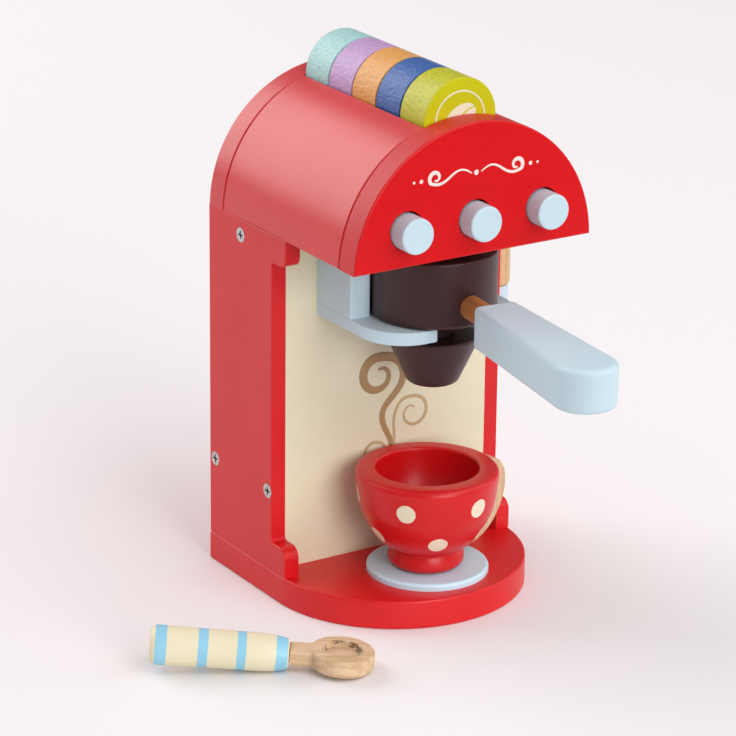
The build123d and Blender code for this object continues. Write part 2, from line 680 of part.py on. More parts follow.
def holder_spout():
    """Turned cone under the body, with the neck that runs in the fork's slot."""
    spout = stepped([
        (0, CONE_BOTTOM_Z), (CONE_BOTTOM_R, CONE_BOTTOM_Z), (CONE_TOP_R, CONE_TOP_Z),
        (NECK_R, CONE_TOP_Z), (NECK_R, HOLDER_Z), (TENON_R, HOLDER_Z),
        (TENON_R, HOLDER_Z + TENON_L), (0, HOLDER_Z + TENON_L)])
    spout = round_at(spout, CONE_BOTTOM_R, CONE_BOTTOM_Z, CONE_ROUND)
    spout = round_at(spout, CONE_TOP_R, CONE_TOP_Z, EDGE)
    return place_holder(spout)


def holder_dowel():
    """Wooden dowel from the body's wall into the handle."""
    start = HOLDER_R - WALL_SOCKET
    return place_holder(dowel_rod(DOWEL_R, start, HANDLE_START + HANDLE_SOCKET - start))


def holder_handle():
    """Paddle-shaped handle, wider towards its round far end."""
    near = -HANDLE_START
    far = -HANDLE_START - HANDLE_L
    left_near, right_near = HANDLE_SIDE - HANDLE_NEAR_W / 2, HANDLE_SIDE + HANDLE_NEAR_W / 2
    left_far, right_far = HANDLE_SIDE - HANDLE_FAR_W / 2, HANDLE_SIDE + HANDLE_FAR_W / 2
    outline = make_face(Polyline(
        (left_near, near), (left_far, far), (right_far, far), (right_near, near), close=True))
    outline = fillet(corners_at(outline, [(left_far, far), (right_far, far)]), HANDLE_FAR_R)
    outline = fillet(corners_at(outline, [(left_near, near), (right_near, near)]),
                     HANDLE_NEAR_R)
    handle = Pos(0, 0, HANDLE_Z) * extrude(outline, HANDLE_T)
    handle = fillet(end_edges(handle, Axis.Z), SOFT_EDGE)
    socket = dowel_rod(DOWEL_R + FIT, HANDLE_START - 1, HANDLE_SOCKET + REST_GAP + 1)
    return place_holder(handle - socket)


# ---- saucer and cup --------------------------------------------------------------------------

def saucer_disc():
    """Thin disc glued on the base, under the cup."""
    disc = Pos(SAUCER_X, CUP_Y, BASE_T) * extrude(Circle(SAUCER_R), SAUCER_T)
    return fillet(disc.faces().sort_by(Axis.Z)[-1].edges(), SAUCER_EDGE)


def cup_side(grow):
    """Lines up the cup's outside, from the axis under the foot to the top of the rim."""
    foot_top = CUP_Z + CUP_FOOT_H
    rim_z = CUP_TOP_Z - CUP_RIM_ROUND
    widening = CUP_R - CUP_NECK_R
    rise = rim_z - foot_top
    bowl = [(CUP_NECK_R + grow, foot_top)]
    for across, up in ((0.16, 0.037), (0.339, 0.11), (0.491, 0.196), (0.721, 0.398),
                       (0.897, 0.628), (0.966, 0.859)):
        bowl.append((CUP_NECK_R + grow + widening * across, foot_top + rise * up))
    bowl.append((CUP_R + grow, rim_z))
    rim = (CUP_R + grow - CUP_RIM_ROUND, CUP_TOP_Z)
    flat = (CUP_FOOT_R + grow - CUP_FOOT_ROUND, CUP_Z)
    belly = (CUP_FOOT_R + grow, CUP_Z + CUP_FOOT_ROUND)
    return [
        Line((0, CUP_Z), flat),
        TangentArc(flat, belly, tangent=(1, 0)),
        Spline(belly, bowl[0], tangents=((0, 1), (-0.5, 0.85))),
        Spline(*bowl, tangents=((0.9, 0.45), (0, 1))),
        TangentArc(bowl[-1], rim, tangent=(0, 1)),
    ], rim


def cup_body():
    """Turned cup with a thick rim, a round inside and a low foot."""
    lines, rim = cup_side(0)
    lip = (CUP_MOUTH_R + CUP_MOUTH_ROUND, CUP_TOP_Z)
    mouth = (CUP_MOUTH_R, CUP_TOP_Z - CUP_MOUTH_ROUND)
    bottom = (0, CUP_TOP_Z - CUP_INNER_DEPTH)
    lines += [
        Line(rim, lip),
        TangentArc(lip, mouth, tangent=(-1, 0)),
        Spline(mouth, bottom, tangents=((0, -1.6), (-1.6, 0))),
        Line(bottom, (0, CUP_Z)),
    ]
    return Pos(CUP_X, CUP_Y, 0) * turned(lines)


def cup_grip():
    """Oval wooden handle of the cup, cut to the cup's side."""
    lines, rim = cup_side(FIT)
    top = (0, CUP_TOP_Z)
    envelope = turned(lines + [Line(rim, top), Line(top, (0, CUP_Z))])
    place = Pos(CUP_R - GRIP_INSET, CUP_Z + GRIP_CENTRE_H) * Rot(0, 0, -GRIP_LEAN)
    hole = Ellipse(GRIP_SHORT_R - GRIP_BAR, GRIP_LONG_R - GRIP_BAR)
    ring = place * (Ellipse(GRIP_SHORT_R, GRIP_LONG_R) - hole)
    grip = along_y(ring, -GRIP_T / 2, GRIP_T / 2)
    grip = fillet(end_edges(grip, Axis.Y), GRIP_ROUND)
    outside = (grip - envelope).solids().sort_by(Axis.X)[-1]
    return Pos(CUP_X, CUP_Y, 0) * Rot(0, 0, GRIP_TURN) * outside


# ---- steam wand ------------------------------------------------------------------------------

def wand_pin():
    """Pin fixed in the right panel, with a head that keeps the wand on."""
    shank = WAND_X + WAND_R + REST_GAP - PANEL_INNER_X
    pin = stepped([
        (0, 0), (PIN_R, 0), (PIN_R, shank), (PIN_HEAD_R, shank),
        (PIN_HEAD_R, shank + PIN_HEAD_T), (0, shank + PIN_HEAD_T)])
    pin = round_at(pin, PIN_HEAD_R, shank + PIN_HEAD_T, EDGE)
    return Plane(origin=(PANEL_INNER_X, WAND_Y, WAND_PIVOT_Z), z_dir=(1, 0, 0)) * pin


def wand_barrel():
    """Wooden barrel of the steam wand, bored for the pin and for the tip."""
    barrel = stepped([
        (0, WAND_BOTTOM_Z), (WAND_R, WAND_BOTTOM_Z), (WAND_R, WAND_TOP_Z), (0, WAND_TOP_Z)])
    barrel = round_at(barrel, WAND_R, WAND_BOTTOM_Z, WAND_ROUND)
    barrel = round_at(barrel, WAND_R, WAND_TOP_Z, WAND_ROUND)
    barrel -= rod(PIN_R + FIT, (-WAND_R - 1, 0, WAND_PIVOT_Z), (1, 0, 0), 2 * WAND_R + 2)
    barrel -= rod(WAND_TENON_R + FIT, (0, 0, WAND_BOTTOM_Z - 1), (0, 0, 1),
                  WAND_TENON_L + REST_GAP + 1)
    return Pos(WAND_X, WAND_Y, 0) * barrel


def wand_tip():
    """Painted tip under the barrel, with a tenon that is glued into it."""
    low = WAND_BOTTOM_Z - WAND_TIP_L
    tip = stepped([
        (0, low), (WAND_TIP_R, low), (WAND_TIP_R, WAND_BOTTOM_Z), (WAND_TENON_R, WAND_BOTTOM_Z),
        (WAND_TENON_R, WAND_BOTTOM_Z + WAND_TENON_L), (0, WAND_BOTTOM_Z + WAND_TENON_L)])
    tip = round_at(tip, WAND_TIP_R, low, WAND_TIP_ROUND)
    tip = round_at(tip, WAND_TIP_R, WAND_BOTTOM_Z, EDGE)
    return Pos(WAND_X, WAND_Y, 0) * tip


# ---- spoon -----------------------------------------------------------------------------------

def spoon_handle():
    """Turned handle, drawn along Z from its far end."""
    round_r = SPOON_FAT_R - SPOON_END_ROUND
    side = [
        (SPOON_FAT_R, SPOON_END_ROUND), (SPOON_MIDDLE_R, SPOON_MIDDLE_AT),
        (SPOON_THIN_R, SPOON_HANDLE_L)]
    handle = turned([
        Line((0, 0), (round_r, 0)),
        TangentArc((round_r, 0), side[0], tangent=(1, 0)),
        Spline(*side, tangents=((0, 1), (-0.3, 0.9))),
        Line(side[-1], (0, SPOON_HANDLE_L)),
        Line((0, SPOON_HANDLE_L), (0, 0)),
    ])
    handle = round_at(handle, SPOON_THIN_R, SPOON_HANDLE_L, EDGE)
    return handle - rod(SPOON_TENON_R + FIT, (0, 0, SPOON_HANDLE_L - SPOON_TENON_L - REST_GAP),
                        (0, 0, 1), SPOON_TENON_L + 1)


def spoon_scoop():
    """Round scoop with its neck and tenon, drawn along Z with its hollow facing +X."""
    neck_l = SPOON_REACH - SPOON_HANDLE_L - SPOON_NECK_GAP
    outline = Pos(0, SPOON_REACH) * Circle(SCOOP_R)
    outline += Pos(0, SPOON_REACH - neck_l / 2) * Rectangle(SPOON_NECK_W, neck_l)
    joint_z = SPOON_REACH - math.sqrt(SCOOP_R ** 2 - (SPOON_NECK_W / 2) ** 2)
    inner = corners_at(outline, [(-SPOON_NECK_W / 2, joint_z), (SPOON_NECK_W / 2, joint_z)])
    outline = fillet(inner, SPOON_NECK_CORNER)
    plane = Plane(origin=(-SCOOP_T / 2, 0, 0), x_dir=(0, 1, 0), z_dir=(1, 0, 0))
    scoop = plane * extrude(outline, SCOOP_T)
    scoop = fillet(scoop.faces().sort_by(Axis.X)[0].edges(), SCOOP_ROUND)
    scoop = fillet(scoop.faces().sort_by(Axis.X)[-1].edges(), SCOOP_TOP_ROUND)
    scoop += rod(SPOON_TENON_R, (0, 0, SPOON_HANDLE_L - SPOON_TENON_L), (0, 0, 1),
                 SPOON_TENON_L + SPOON_NECK_GAP + neck_l / 4)
    cutter = stepped([(0, 0), (SCOOP_HOLLOW_R, 0), (SCOOP_HOLLOW_R, SCOOP_T), (0, SCOOP_T)])
    cutter = round_at(cutter, SCOOP_HOLLOW_R, 0, SCOOP_HOLLOW_ROUND)
    hollow = Pos(SCOOP_T / 2 - SCOOP_HOLLOW_DEPTH, 0, SPOON_REACH) * Rot(0, 90, 0) * cutter
    scoop -= hollow
    rim = scoop.faces().sort_by(Axis.X)[-1].inner_wires()[0]
    return fillet(rim.edges(), SCOOP_RIM_ROUND)


def laid_spoon(slope):
    """Handle and scoop with the scoop's end pointing down by a slope in degrees."""
    lay = Rot(0, 0, SPOON_TURN) * Rot(0, 90 + slope, 0) * Rot(0, 0, 180)
    return [lay * spoon_handle(), lay * spoon_scoop()]


def spoon_pieces():
    """Handle and scoop, laid on the floor on the middle of the handle and the scoop's edge."""
    span = SPOON_REACH + SCOOP_R - SCOOP_ROUND - SPOON_MIDDLE_AT
    slope = math.degrees(math.atan((SPOON_MIDDLE_R - SCOOP_T / 2) / span))
    handle_z, scoop_z = [piece.bounding_box().min.Z for piece in laid_spoon(slope)]
    slope += math.degrees(math.atan((scoop_z - handle_z) / span))
    pieces = laid_spoon(slope)
    lowest = min(piece.bounding_box().min.Z for piece in pieces)
    return [Pos(SPOON_X, SPOON_Y, FLOOR_GAP - lowest) * piece for piece in pieces]


# ---- all nodes -------------------------------------------------------------------------------

def all_nodes():
    """Every node's name with its solid or group of solids."""
    shell_left, shell_right = head_shells()
    handle, scoop = spoon_pieces()
    nodes = {
        "base_plate": base_plate(),
        "side_panel_left": side_panel(-1),
        "side_panel_right": side_panel(1),
        "front_board": front_board(),
        "back_board": back_board(),
        "top_rail": top_rail(),
        "head_front_plate": head_front_plate(),
        "head_back_plate": head_back_plate(),
        "head_shell_left": shell_left,
        "head_shell_right": shell_right,
        "head_floor": head_floor(),
        "head_cleat": head_cleat(),
        "pod_trough": pod_trough(),
        "button_backing": button_backing(),
        "fork_plate": fork_plate(),
        "fork_block_left": fork_block(-1),
        "fork_block_right": fork_block(1),
        "saucer_disc": saucer_disc(),
        "wand_pin": wand_pin(),
        "panel_screws": screws_at(panel_screw_places(), PANEL_SCREW_L),
        "base_screws": screws_at(base_screw_places(), BASE_SCREW_L),
        "head_screws": screws_at(head_screw_places(), HEAD_SCREW_L),
        "block_screws": screws_at(block_screw_places(), BLOCK_SCREW_L),
        "head_pegs": pegs_at(head_peg_places(), PEG_R, PEG_L),
        "fork_pegs": pegs_at(fork_peg_places(), FORK_PEG_R, FORK_PEG_L),
        "holder_body": holder_body(),
        "holder_spout": holder_spout(),
        "holder_dowel": holder_dowel(),
        "holder_handle": holder_handle(),
        "cup_body": cup_body(),
        "cup_grip": cup_grip(),
        "wand_barrel": wand_barrel(),
        "wand_tip": wand_tip(),
        "spoon_handle": handle,
        "spoon_scoop": scoop,
    }
    for name, x in (("left", -BUTTON_PITCH), ("middle", 0.0), ("right", BUTTON_PITCH)):
        nodes["button_" + name] = push_button(x)
        nodes["button_spring_" + name] = button_spring(x)
    for number, pod in enumerate(pods(), start=1):
        nodes[f"pod_{number}"] = pod
    return nodes


os.makedirs("parts", exist_ok=True)
for node, shape in all_nodes().items():
    export_step(shape, f"parts/{node}.step")
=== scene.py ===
"""Looks of a wooden toy coffee maker: lacquered beech and plywood, bare beech, zinced screws.

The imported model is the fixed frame.  This script dresses its nodes with procedural materials and
adds the printed ornaments, the button springs, the turned cup, the stage, the lights and the
camera.
"""

import logging
import math
from dataclasses import dataclass
from enum import Enum
from typing import Any, Iterable, Optional

import bmesh
import bpy
from mathutils import Euler, Matrix, Vector
from mathutils.geometry import interpolate_bezier


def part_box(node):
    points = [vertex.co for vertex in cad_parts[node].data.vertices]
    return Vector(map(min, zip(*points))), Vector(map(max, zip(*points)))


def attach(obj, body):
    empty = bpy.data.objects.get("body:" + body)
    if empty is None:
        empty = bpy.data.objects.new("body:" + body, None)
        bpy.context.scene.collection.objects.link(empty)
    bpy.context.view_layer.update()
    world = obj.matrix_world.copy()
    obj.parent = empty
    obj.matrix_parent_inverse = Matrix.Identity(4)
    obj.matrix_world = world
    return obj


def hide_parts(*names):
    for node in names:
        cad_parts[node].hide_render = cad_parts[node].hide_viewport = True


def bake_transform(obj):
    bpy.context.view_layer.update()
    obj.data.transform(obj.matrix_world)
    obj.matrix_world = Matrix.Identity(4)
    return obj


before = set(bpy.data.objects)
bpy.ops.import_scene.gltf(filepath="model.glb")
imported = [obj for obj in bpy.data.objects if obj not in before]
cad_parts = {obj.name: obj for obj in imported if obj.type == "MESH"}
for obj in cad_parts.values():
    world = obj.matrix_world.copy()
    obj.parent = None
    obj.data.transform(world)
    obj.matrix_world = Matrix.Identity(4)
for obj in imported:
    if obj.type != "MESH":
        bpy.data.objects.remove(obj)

LOG = logging.getLogger("coffee_maker")
MM = 0.001
INK_EDGE = 0.03  # height of an ink's edge over the paint, in millimetres
PLAIN_GLOSS = 0.5  # the shader's middle value, at which a coat mirrors as its IOR says
SAME_PLACE = 1e-7  # points nearer than this, in metres, are merged
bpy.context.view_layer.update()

Socket = bpy.types.NodeSocket


# ---- small helpers ---------------------------------------------------------------------------

def linear(hex_colour: str) -> tuple[float, float, float, float]:
    """Turn an sRGB hex colour into linear values.

    Args:
        hex_colour: six hex digits, such as "D81C24".

    Returns:
        Red, green, blue and an alpha of 1.
    """
    parts = [int(hex_colour[i:i + 2], 16) / 255 for i in (0, 2, 4)]
    red, green, blue = (c / 12.92 if c <= 0.04045 else ((c + 0.055) / 1.055) ** 2.4 for c in parts)
    return red, green, blue, 1.0


def add_node(tree: bpy.types.NodeTree, kind: str, settings: Optional[dict[str, Any]] = None,
             inputs: Optional[dict[Any, Any]] = None) -> bpy.types.Node:
    """Add a node, with its settings, its constants and its links.

    Args:
        tree: the node tree that gets the node.
        kind: Blender's name of the node's type, without the "ShaderNode" in front.
        settings: properties of the node and their values.
        inputs: input sockets, by name or number, with a constant or another node's output.

    Returns:
        The new node.
    """
    node = tree.nodes.new("ShaderNode" + kind)
    for key, value in (settings or {}).items():
        setattr(node, key, value)
    for key, value in (inputs or {}).items():
        if isinstance(value, Socket):
            tree.links.new(value, node.inputs[key])
        else:
            node.inputs[key].default_value = value
    return node


def new_material(name: str) -> tuple[bpy.types.Material, bpy.types.NodeTree]:
    """Make an empty node material.

    Args:
        name: the material's name.

    Returns:
        The material and its empty node tree.
    """
    material = bpy.data.materials.new(name)
    material.use_nodes = True
    material.node_tree.nodes.clear()
    return material, material.node_tree


def add_piece(name: str, bm: bmesh.types.BMesh, material: bpy.types.Material,
              body: Optional[str]) -> bpy.types.Object:
    """Make a shown piece from a finished bmesh and let it ride on a body.

    Args:
        name: the piece's name.
        bm: its shape, in place; it is freed.
        material: its finish.
        body: the body that carries it; none for a piece that is left unattached.

    Returns:
        The new object.
    """
    mesh = bpy.data.meshes.new(name)
    bmesh.ops.recalc_face_normals(bm, faces=bm.faces)
    bm.to_mesh(mesh)
    bm.free()
    mesh.shade_smooth()
    mesh.materials.append(material)
    piece = bpy.data.objects.new(name, mesh)
    bpy.context.scene.collection.objects.link(piece)
    if body is not None:
        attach(piece, body)
    LOG.info("piece %s rides on %s, %d faces", name, body or "two bodies", len(mesh.polygons))
    return piece


def dress(nodes: Iterable[str], material: bpy.types.Material) -> None:
    """Give CAD nodes a finish.

    Args:
        nodes: the nodes' names.
        material: the finish.
    """
    for name in nodes:
        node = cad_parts[name]
        node.data.materials.clear()
        node.data.materials.append(material)
        LOG.info("node %s gets %s", name, material.name)


# ---- finishes --------------------------------------------------------------------------------

def even_cell(size: float) -> Vector:
    """A pattern's cell that is as wide as it is long, in metres, from its millimetres."""
    return Vector((size * MM,) * 3)


class Fibre(Enum):
    """The direction that a piece's wood fibres run in, as the axis they follow."""

    X = 0
    Y = 1
    Z = 2

    def cells(self, across: float, along: float) -> Vector:
        """Size of a pattern's cell that is drawn out along the fibres.

        Args:
            across: the cell's width, in millimetres.
            along: its length.

        Returns:
            The size in metres along each axis.
        """
        size = [across * MM] * 3
        size[self.value] = along * MM
        return Vector(size)

    def unit(self) -> tuple[float, float, float]:
        """The axis as a direction."""
        return tuple(float(k == self.value) for k in range(3))


@dataclass(frozen=True)
class Pose:
    """Where a piece's own axes lie, so that a pattern can follow a piece that isn't square.

    Attributes:
        place: the piece's middle, in metres.
        turn: its turn, in degrees about X, Y and Z.
    """

    place: tuple[float, float, float] = (0.0, 0.0, 0.0)
    turn: tuple[float, float, float] = (0.0, 0.0, 0.0)

    def mapped(self, tree: bpy.types.NodeTree, coords: Socket, cell: Iterable[float]) -> Socket:
        """Coordinates in the piece's own axes, divided by a cell size."""
        node = add_node(tree, "Mapping", {"vector_type": "TEXTURE"}, {
            "Vector": coords, "Location": self.place,
            "Rotation": tuple(math.radians(a) for a in self.turn), "Scale": tuple(cell)})
        return node.outputs["Vector"]


def noise(tree: bpy.types.NodeTree, coords: Socket, detail: float = 2.0,
          rough: float = 0.5) -> Socket:
    """A noise pattern with one cell to each unit of the coordinates."""
    return add_node(tree, "TexNoise", None, {
        "Vector": coords, "Scale": 1.0, "Detail": detail, "Roughness": rough}).outputs["Fac"]


def spread(tree: bpy.types.NodeTree, value: Socket, low: float, high: float,
           to_low: float = 0.0, to_high: float = 1.0) -> Socket:
    """Stretch a stretch of values to another range, with soft ends and nothing outside."""
    return add_node(tree, "MapRange", {"interpolation_type": "SMOOTHSTEP"}, {
        "Value": value, "From Min": low, "From Max": high, "To Min": to_low,
        "To Max": to_high}).outputs["Result"]


def maths(tree: bpy.types.NodeTree, operation: str, *values: Any) -> Socket:
    """One sum of one or two values."""
    return add_node(tree, "Math", {"operation": operation}, dict(enumerate(values))).outputs[0]


def blend_colours(tree: bpy.types.NodeTree, factor: Any, first: Any, second: Any) -> Socket:
    """Mix two colours by a factor."""
    node = add_node(tree, "Mix", {"data_type": "RGBA"}, {0: factor, 6: first, 7: second})
    return node.outputs[2]


def bumped(tree: bpy.types.NodeTree, heights: Iterable[tuple[Socket, float]]) -> Socket:
    """Stack relief patterns into one normal.

    Args:
        tree: the material's node tree.
        heights: each pattern with its depth in millimetres.

    Returns:
        The normal with all of them.
    """
    normal: Optional[Socket] = None
    for height, depth in heights:
        inputs = {"Height": height, "Distance": depth * MM, "Strength": 1.0}
        if normal is not None:
            inputs["Normal"] = normal
        normal = add_node(tree, "Bump", None, inputs).outputs["Normal"]
    return normal


@dataclass(frozen=True)
class Lacquer:
    """Water-based lacquer, sprayed on sanded wood: satin, with the fibres just felt below it.

    Attributes:
        name: the material's name.
        colour: hex colour of the paint.
        fibre: the direction of the fibres.
        flat: the axis whose faces are sanded flat; faces along it show open end grain.
        relief: height of the fibres under the paint, in millimetres.
        end_relief: the same on end grain, where the paint sinks in.
        roughness: roughness of the sprayed coat.
        ior: how strongly it mirrors; a coat with more matting powder is nearer to 1.
        shade: how much darker the paint is in its thin places, 0 to 1.
        peel: height of the sprayed coat's fine waves, in millimetres.
        end_rough: how much rougher the coat is on end grain.
        speck: width of the end grain's specks, in millimetres; open pores are finer than that,
            and would not show.
        speck_stretch: their length as a multiple of it.
        strand: width and length of a bundle of fibres, in millimetres; a single fibre is too fine
            to show.
        face_gloss: gloss of the flat faces; end grain keeps the plain one.
        patch: width of the coat's cloudy patches, in millimetres.
        wave: width of the sprayed coat's fine waves, in millimetres.
        pit_shade: how much darker the paint is in the pits of end grain, 0 to 1.
        thin_tone: share of the colour that is left where the paint is thinnest.
        pose: the piece's own axes.
    """

    name: str
    colour: str
    fibre: Fibre = Fibre.Z
    flat: Optional[Fibre] = None
    relief: float = 0.012
    end_relief: float = 0.05
    roughness: float = 0.36
    ior: float = 1.48
    shade: float = 0.10
    peel: float = 0.010
    end_rough: float = 0.08
    speck: float = 0.8
    speck_stretch: float = 1.6
    strand: tuple[float, float] = (0.9, 16.0)
    face_gloss: float = PLAIN_GLOSS
    patch: float = 26.0
    wave: float = 2.2
    pit_shade: float = 0.30
    thin_tone: float = 0.62
    pose: Pose = Pose()

    def ink(self, tree: bpy.types.NodeTree, coords: Socket) -> Optional[tuple[Socket, str]]:
        """A second paint, print or painted shade, over the first: where it is, and its colour;
        none by default.
        """
        return None

    def end_grain(self, tree: bpy.types.NodeTree, normal: Socket) -> Socket:
        """1 on faces that stand along the flat axis and show end grain, 0 on flat faces."""
        cosine = add_node(tree, "VectorMath", {"operation": "DOT_PRODUCT"}, {
            0: normal, 1: self.flat.unit()}).outputs["Value"]
        return spread(tree, maths(tree, "ABSOLUTE", cosine), 0.75, 0.35)

    def build(self) -> bpy.types.Material:
        """Make the material.

        Returns:
            The lacquer, with its ink if it has one.
        """
        material, tree = new_material(self.name)
        source = add_node(tree, "TexCoord")
        coords, face = source.outputs["Object"], source.outputs["Normal"]
        bundle = self.fibre.cells(*self.strand)
        fibres = noise(tree, self.pose.mapped(tree, coords, bundle), 3.0, 0.6)
        cloud = noise(tree, self.pose.mapped(tree, coords, even_cell(self.patch)), 2.0)
        peel = noise(tree, self.pose.mapped(tree, coords, even_cell(self.wave)), 1.0)
        heights = [(fibres, self.relief), (peel, self.peel)]
        gloss: Any = PLAIN_GLOSS
        thin = spread(tree, cloud, 0.35, 0.7, 0.0, self.shade)
        rough = spread(tree, cloud, 0.2, 0.8, self.roughness - 0.01, self.roughness + 0.02)
        if self.flat is not None:
            cell = self.flat.cells(self.speck, self.speck_stretch * self.speck)
            specks = noise(tree, self.pose.mapped(tree, coords, cell), 3.0, 0.65)
            open_ends = self.end_grain(tree, face)
            pits = maths(tree, "MULTIPLY", specks, open_ends)
            heights.append((pits, self.end_relief))
            dark = maths(tree, "MULTIPLY", spread(tree, specks, 0.56, 0.36), open_ends)
            thin = maths(tree, "ADD", thin, maths(tree, "MULTIPLY", dark, self.pit_shade))
            rough = maths(tree, "ADD", rough, maths(tree, "MULTIPLY", open_ends, self.end_rough))
            gloss = spread(tree, open_ends, 0.0, 1.0, self.face_gloss, PLAIN_GLOSS)
        full = linear(self.colour)
        deep = tuple(c * self.thin_tone for c in full[:3]) + (1.0,)
        paint = blend_colours(tree, thin, full, deep)
        # A second paint over the first: print, or on the pods a painted shade line in their
        # joints.
        ink = self.ink(tree, coords)
        if ink is not None:
            mask, print_or_shade_colour = ink
            paint = blend_colours(tree, mask, paint, linear(print_or_shade_colour))
            heights.append((mask, INK_EDGE))
        shader = add_node(tree, "BsdfPrincipled", None, {
            "Base Color": paint, "Roughness": rough, "IOR": self.ior, "Specular IOR Level": gloss,
            "Normal": bumped(tree, heights)})
        add_node(tree, "OutputMaterial", None, {"Surface": shader.outputs["BSDF"]})
        return material


@dataclass(frozen=True)
class JointShadedLacquer(Lacquer):
    """Lacquer with a painted shade line along the sharp rear edge of a disc that lies in a row.

    Attributes:
        edge: y of the rear face, in millimetres.
        joint_shade_width: width of the painted shade line, in millimetres.
        joint_shade_colour: hex colour of the painted shade line.
        shade_break_size: width of the breaks in the painted shade line, in millimetres.
    """

    edge: float = 0.0
    joint_shade_width: float = 0.55
    joint_shade_colour: str = "303030"
    shade_break_size: float = 4.0

    def ink(self, tree: bpy.types.NodeTree, coords: Socket) -> Optional[tuple[Socket, str]]:
        """The painted shade line in the joint with the disc behind, patchy, on the round side
        only.

        Args:
            tree: the material's node tree.
            coords: the piece's coordinates.

        Returns:
            Where the painted shade line is, and its colour.
        """
        side = self.end_grain(tree, add_node(tree, "TexCoord").outputs["Normal"])
        along = add_node(tree, "SeparateXYZ", None, {"Vector": coords}).outputs["Y"]
        # Painted shade: darker near the rear face, where the disc behind shades the joint.
        line = maths(tree, "GREATER_THAN", along, (self.edge - self.joint_shade_width) * MM)
        shade_breaks = noise(tree, self.pose.mapped(tree, coords, even_cell(self.shade_break_size)), 2.0)
        joint_shade = maths(tree, "MULTIPLY", line, spread(tree, shade_breaks, 0.35, 0.55, 0.45, 1.0))
        return maths(tree, "MULTIPLY", joint_shade, side), self.joint_shade_colour


@dataclass(frozen=True)
class DottedLacquer(Lacquer):
    """Lacquer with round dots that are pad-printed in rows round a turned piece.

    Attributes:
        axis: x and y of the piece's axis, in millimetres.
        rows: each row's height and radius in millimetres, with its dots' angles in degrees.
        dot: radius of a dot, in millimetres.
        dot_colour: hex colour of the dots.
        waver: how far the edge of a dot strays, in millimetres.
        waver_size: length of one such stray, in millimetres.
    """

    axis: tuple[float, float] = (0.0, 0.0)
    rows: tuple[tuple[float, float, tuple[float, ...]], ...] = ()
    dot: float = 4.35
    dot_colour: str = "EBDCC4"
    waver: float = 0.5
    waver_size: float = 1.6

    def ink(self, tree: bpy.types.NodeTree, coords: Socket) -> Optional[tuple[Socket, str]]:
        """The dots, with a slightly uneven edge.

        Args:
            tree: the material's node tree.
            coords: the piece's coordinates.

        Returns:
            Where the dots are, and their colour.
        """
        wobble = noise(tree, self.pose.mapped(tree, coords, even_cell(self.waver_size)), 1.0)
        edge = maths(tree, "MULTIPLY_ADD", wobble, self.waver * MM,
                     (self.dot - self.waver / 2) * MM)
        mask: Optional[Socket] = None
        for height, reach, angles in self.rows:
            for angle in angles:
                turn = math.radians(angle)
                centre = Vector((self.axis[0] + reach * math.cos(turn),
                                 self.axis[1] + reach * math.sin(turn), height)) * MM
                distance = add_node(tree, "VectorMath", {"operation": "DISTANCE"}, {
                    0: coords, 1: tuple(centre)}).outputs["Value"]
                inside = maths(tree, "LESS_THAN", distance, edge)
                mask = inside if mask is None else maths(tree, "MAXIMUM", mask, inside)
        return mask, self.dot_colour


@dataclass(frozen=True)
class StripedLacquer(Lacquer):
    """Lacquer with bands that are painted round a turned handle while it spins.

    Attributes:
        bands: start and end of each band along the piece's own X, in millimetres.
        band_colour: hex colour of the bands.
    """

    bands: tuple[tuple[float, float], ...] = ()
    band_colour: str = "8FCBE3"

    def ink(self, tree: bpy.types.NodeTree, coords: Socket) -> Optional[tuple[Socket, str]]:
        """The bands.

        Args:
            tree: the material's node tree.
            coords: the piece's coordinates.

        Returns:
            Where the bands are, and their colour.
        """
        own = self.pose.mapped(tree, coords, even_cell(1.0))
        along = add_node(tree, "SeparateXYZ", None, {"Vector": own}).outputs["X"]
        mask: Optional[Socket] = None
        for start, end in self.bands:
            inside = maths(tree, "COMPARE", along, (start + end) / 2)
            inside.node.inputs[2].default_value = (end - start) / 2
            mask = inside if mask is None else maths(tree, "MAXIMUM", mask, inside)
        return mask, self.band_colour


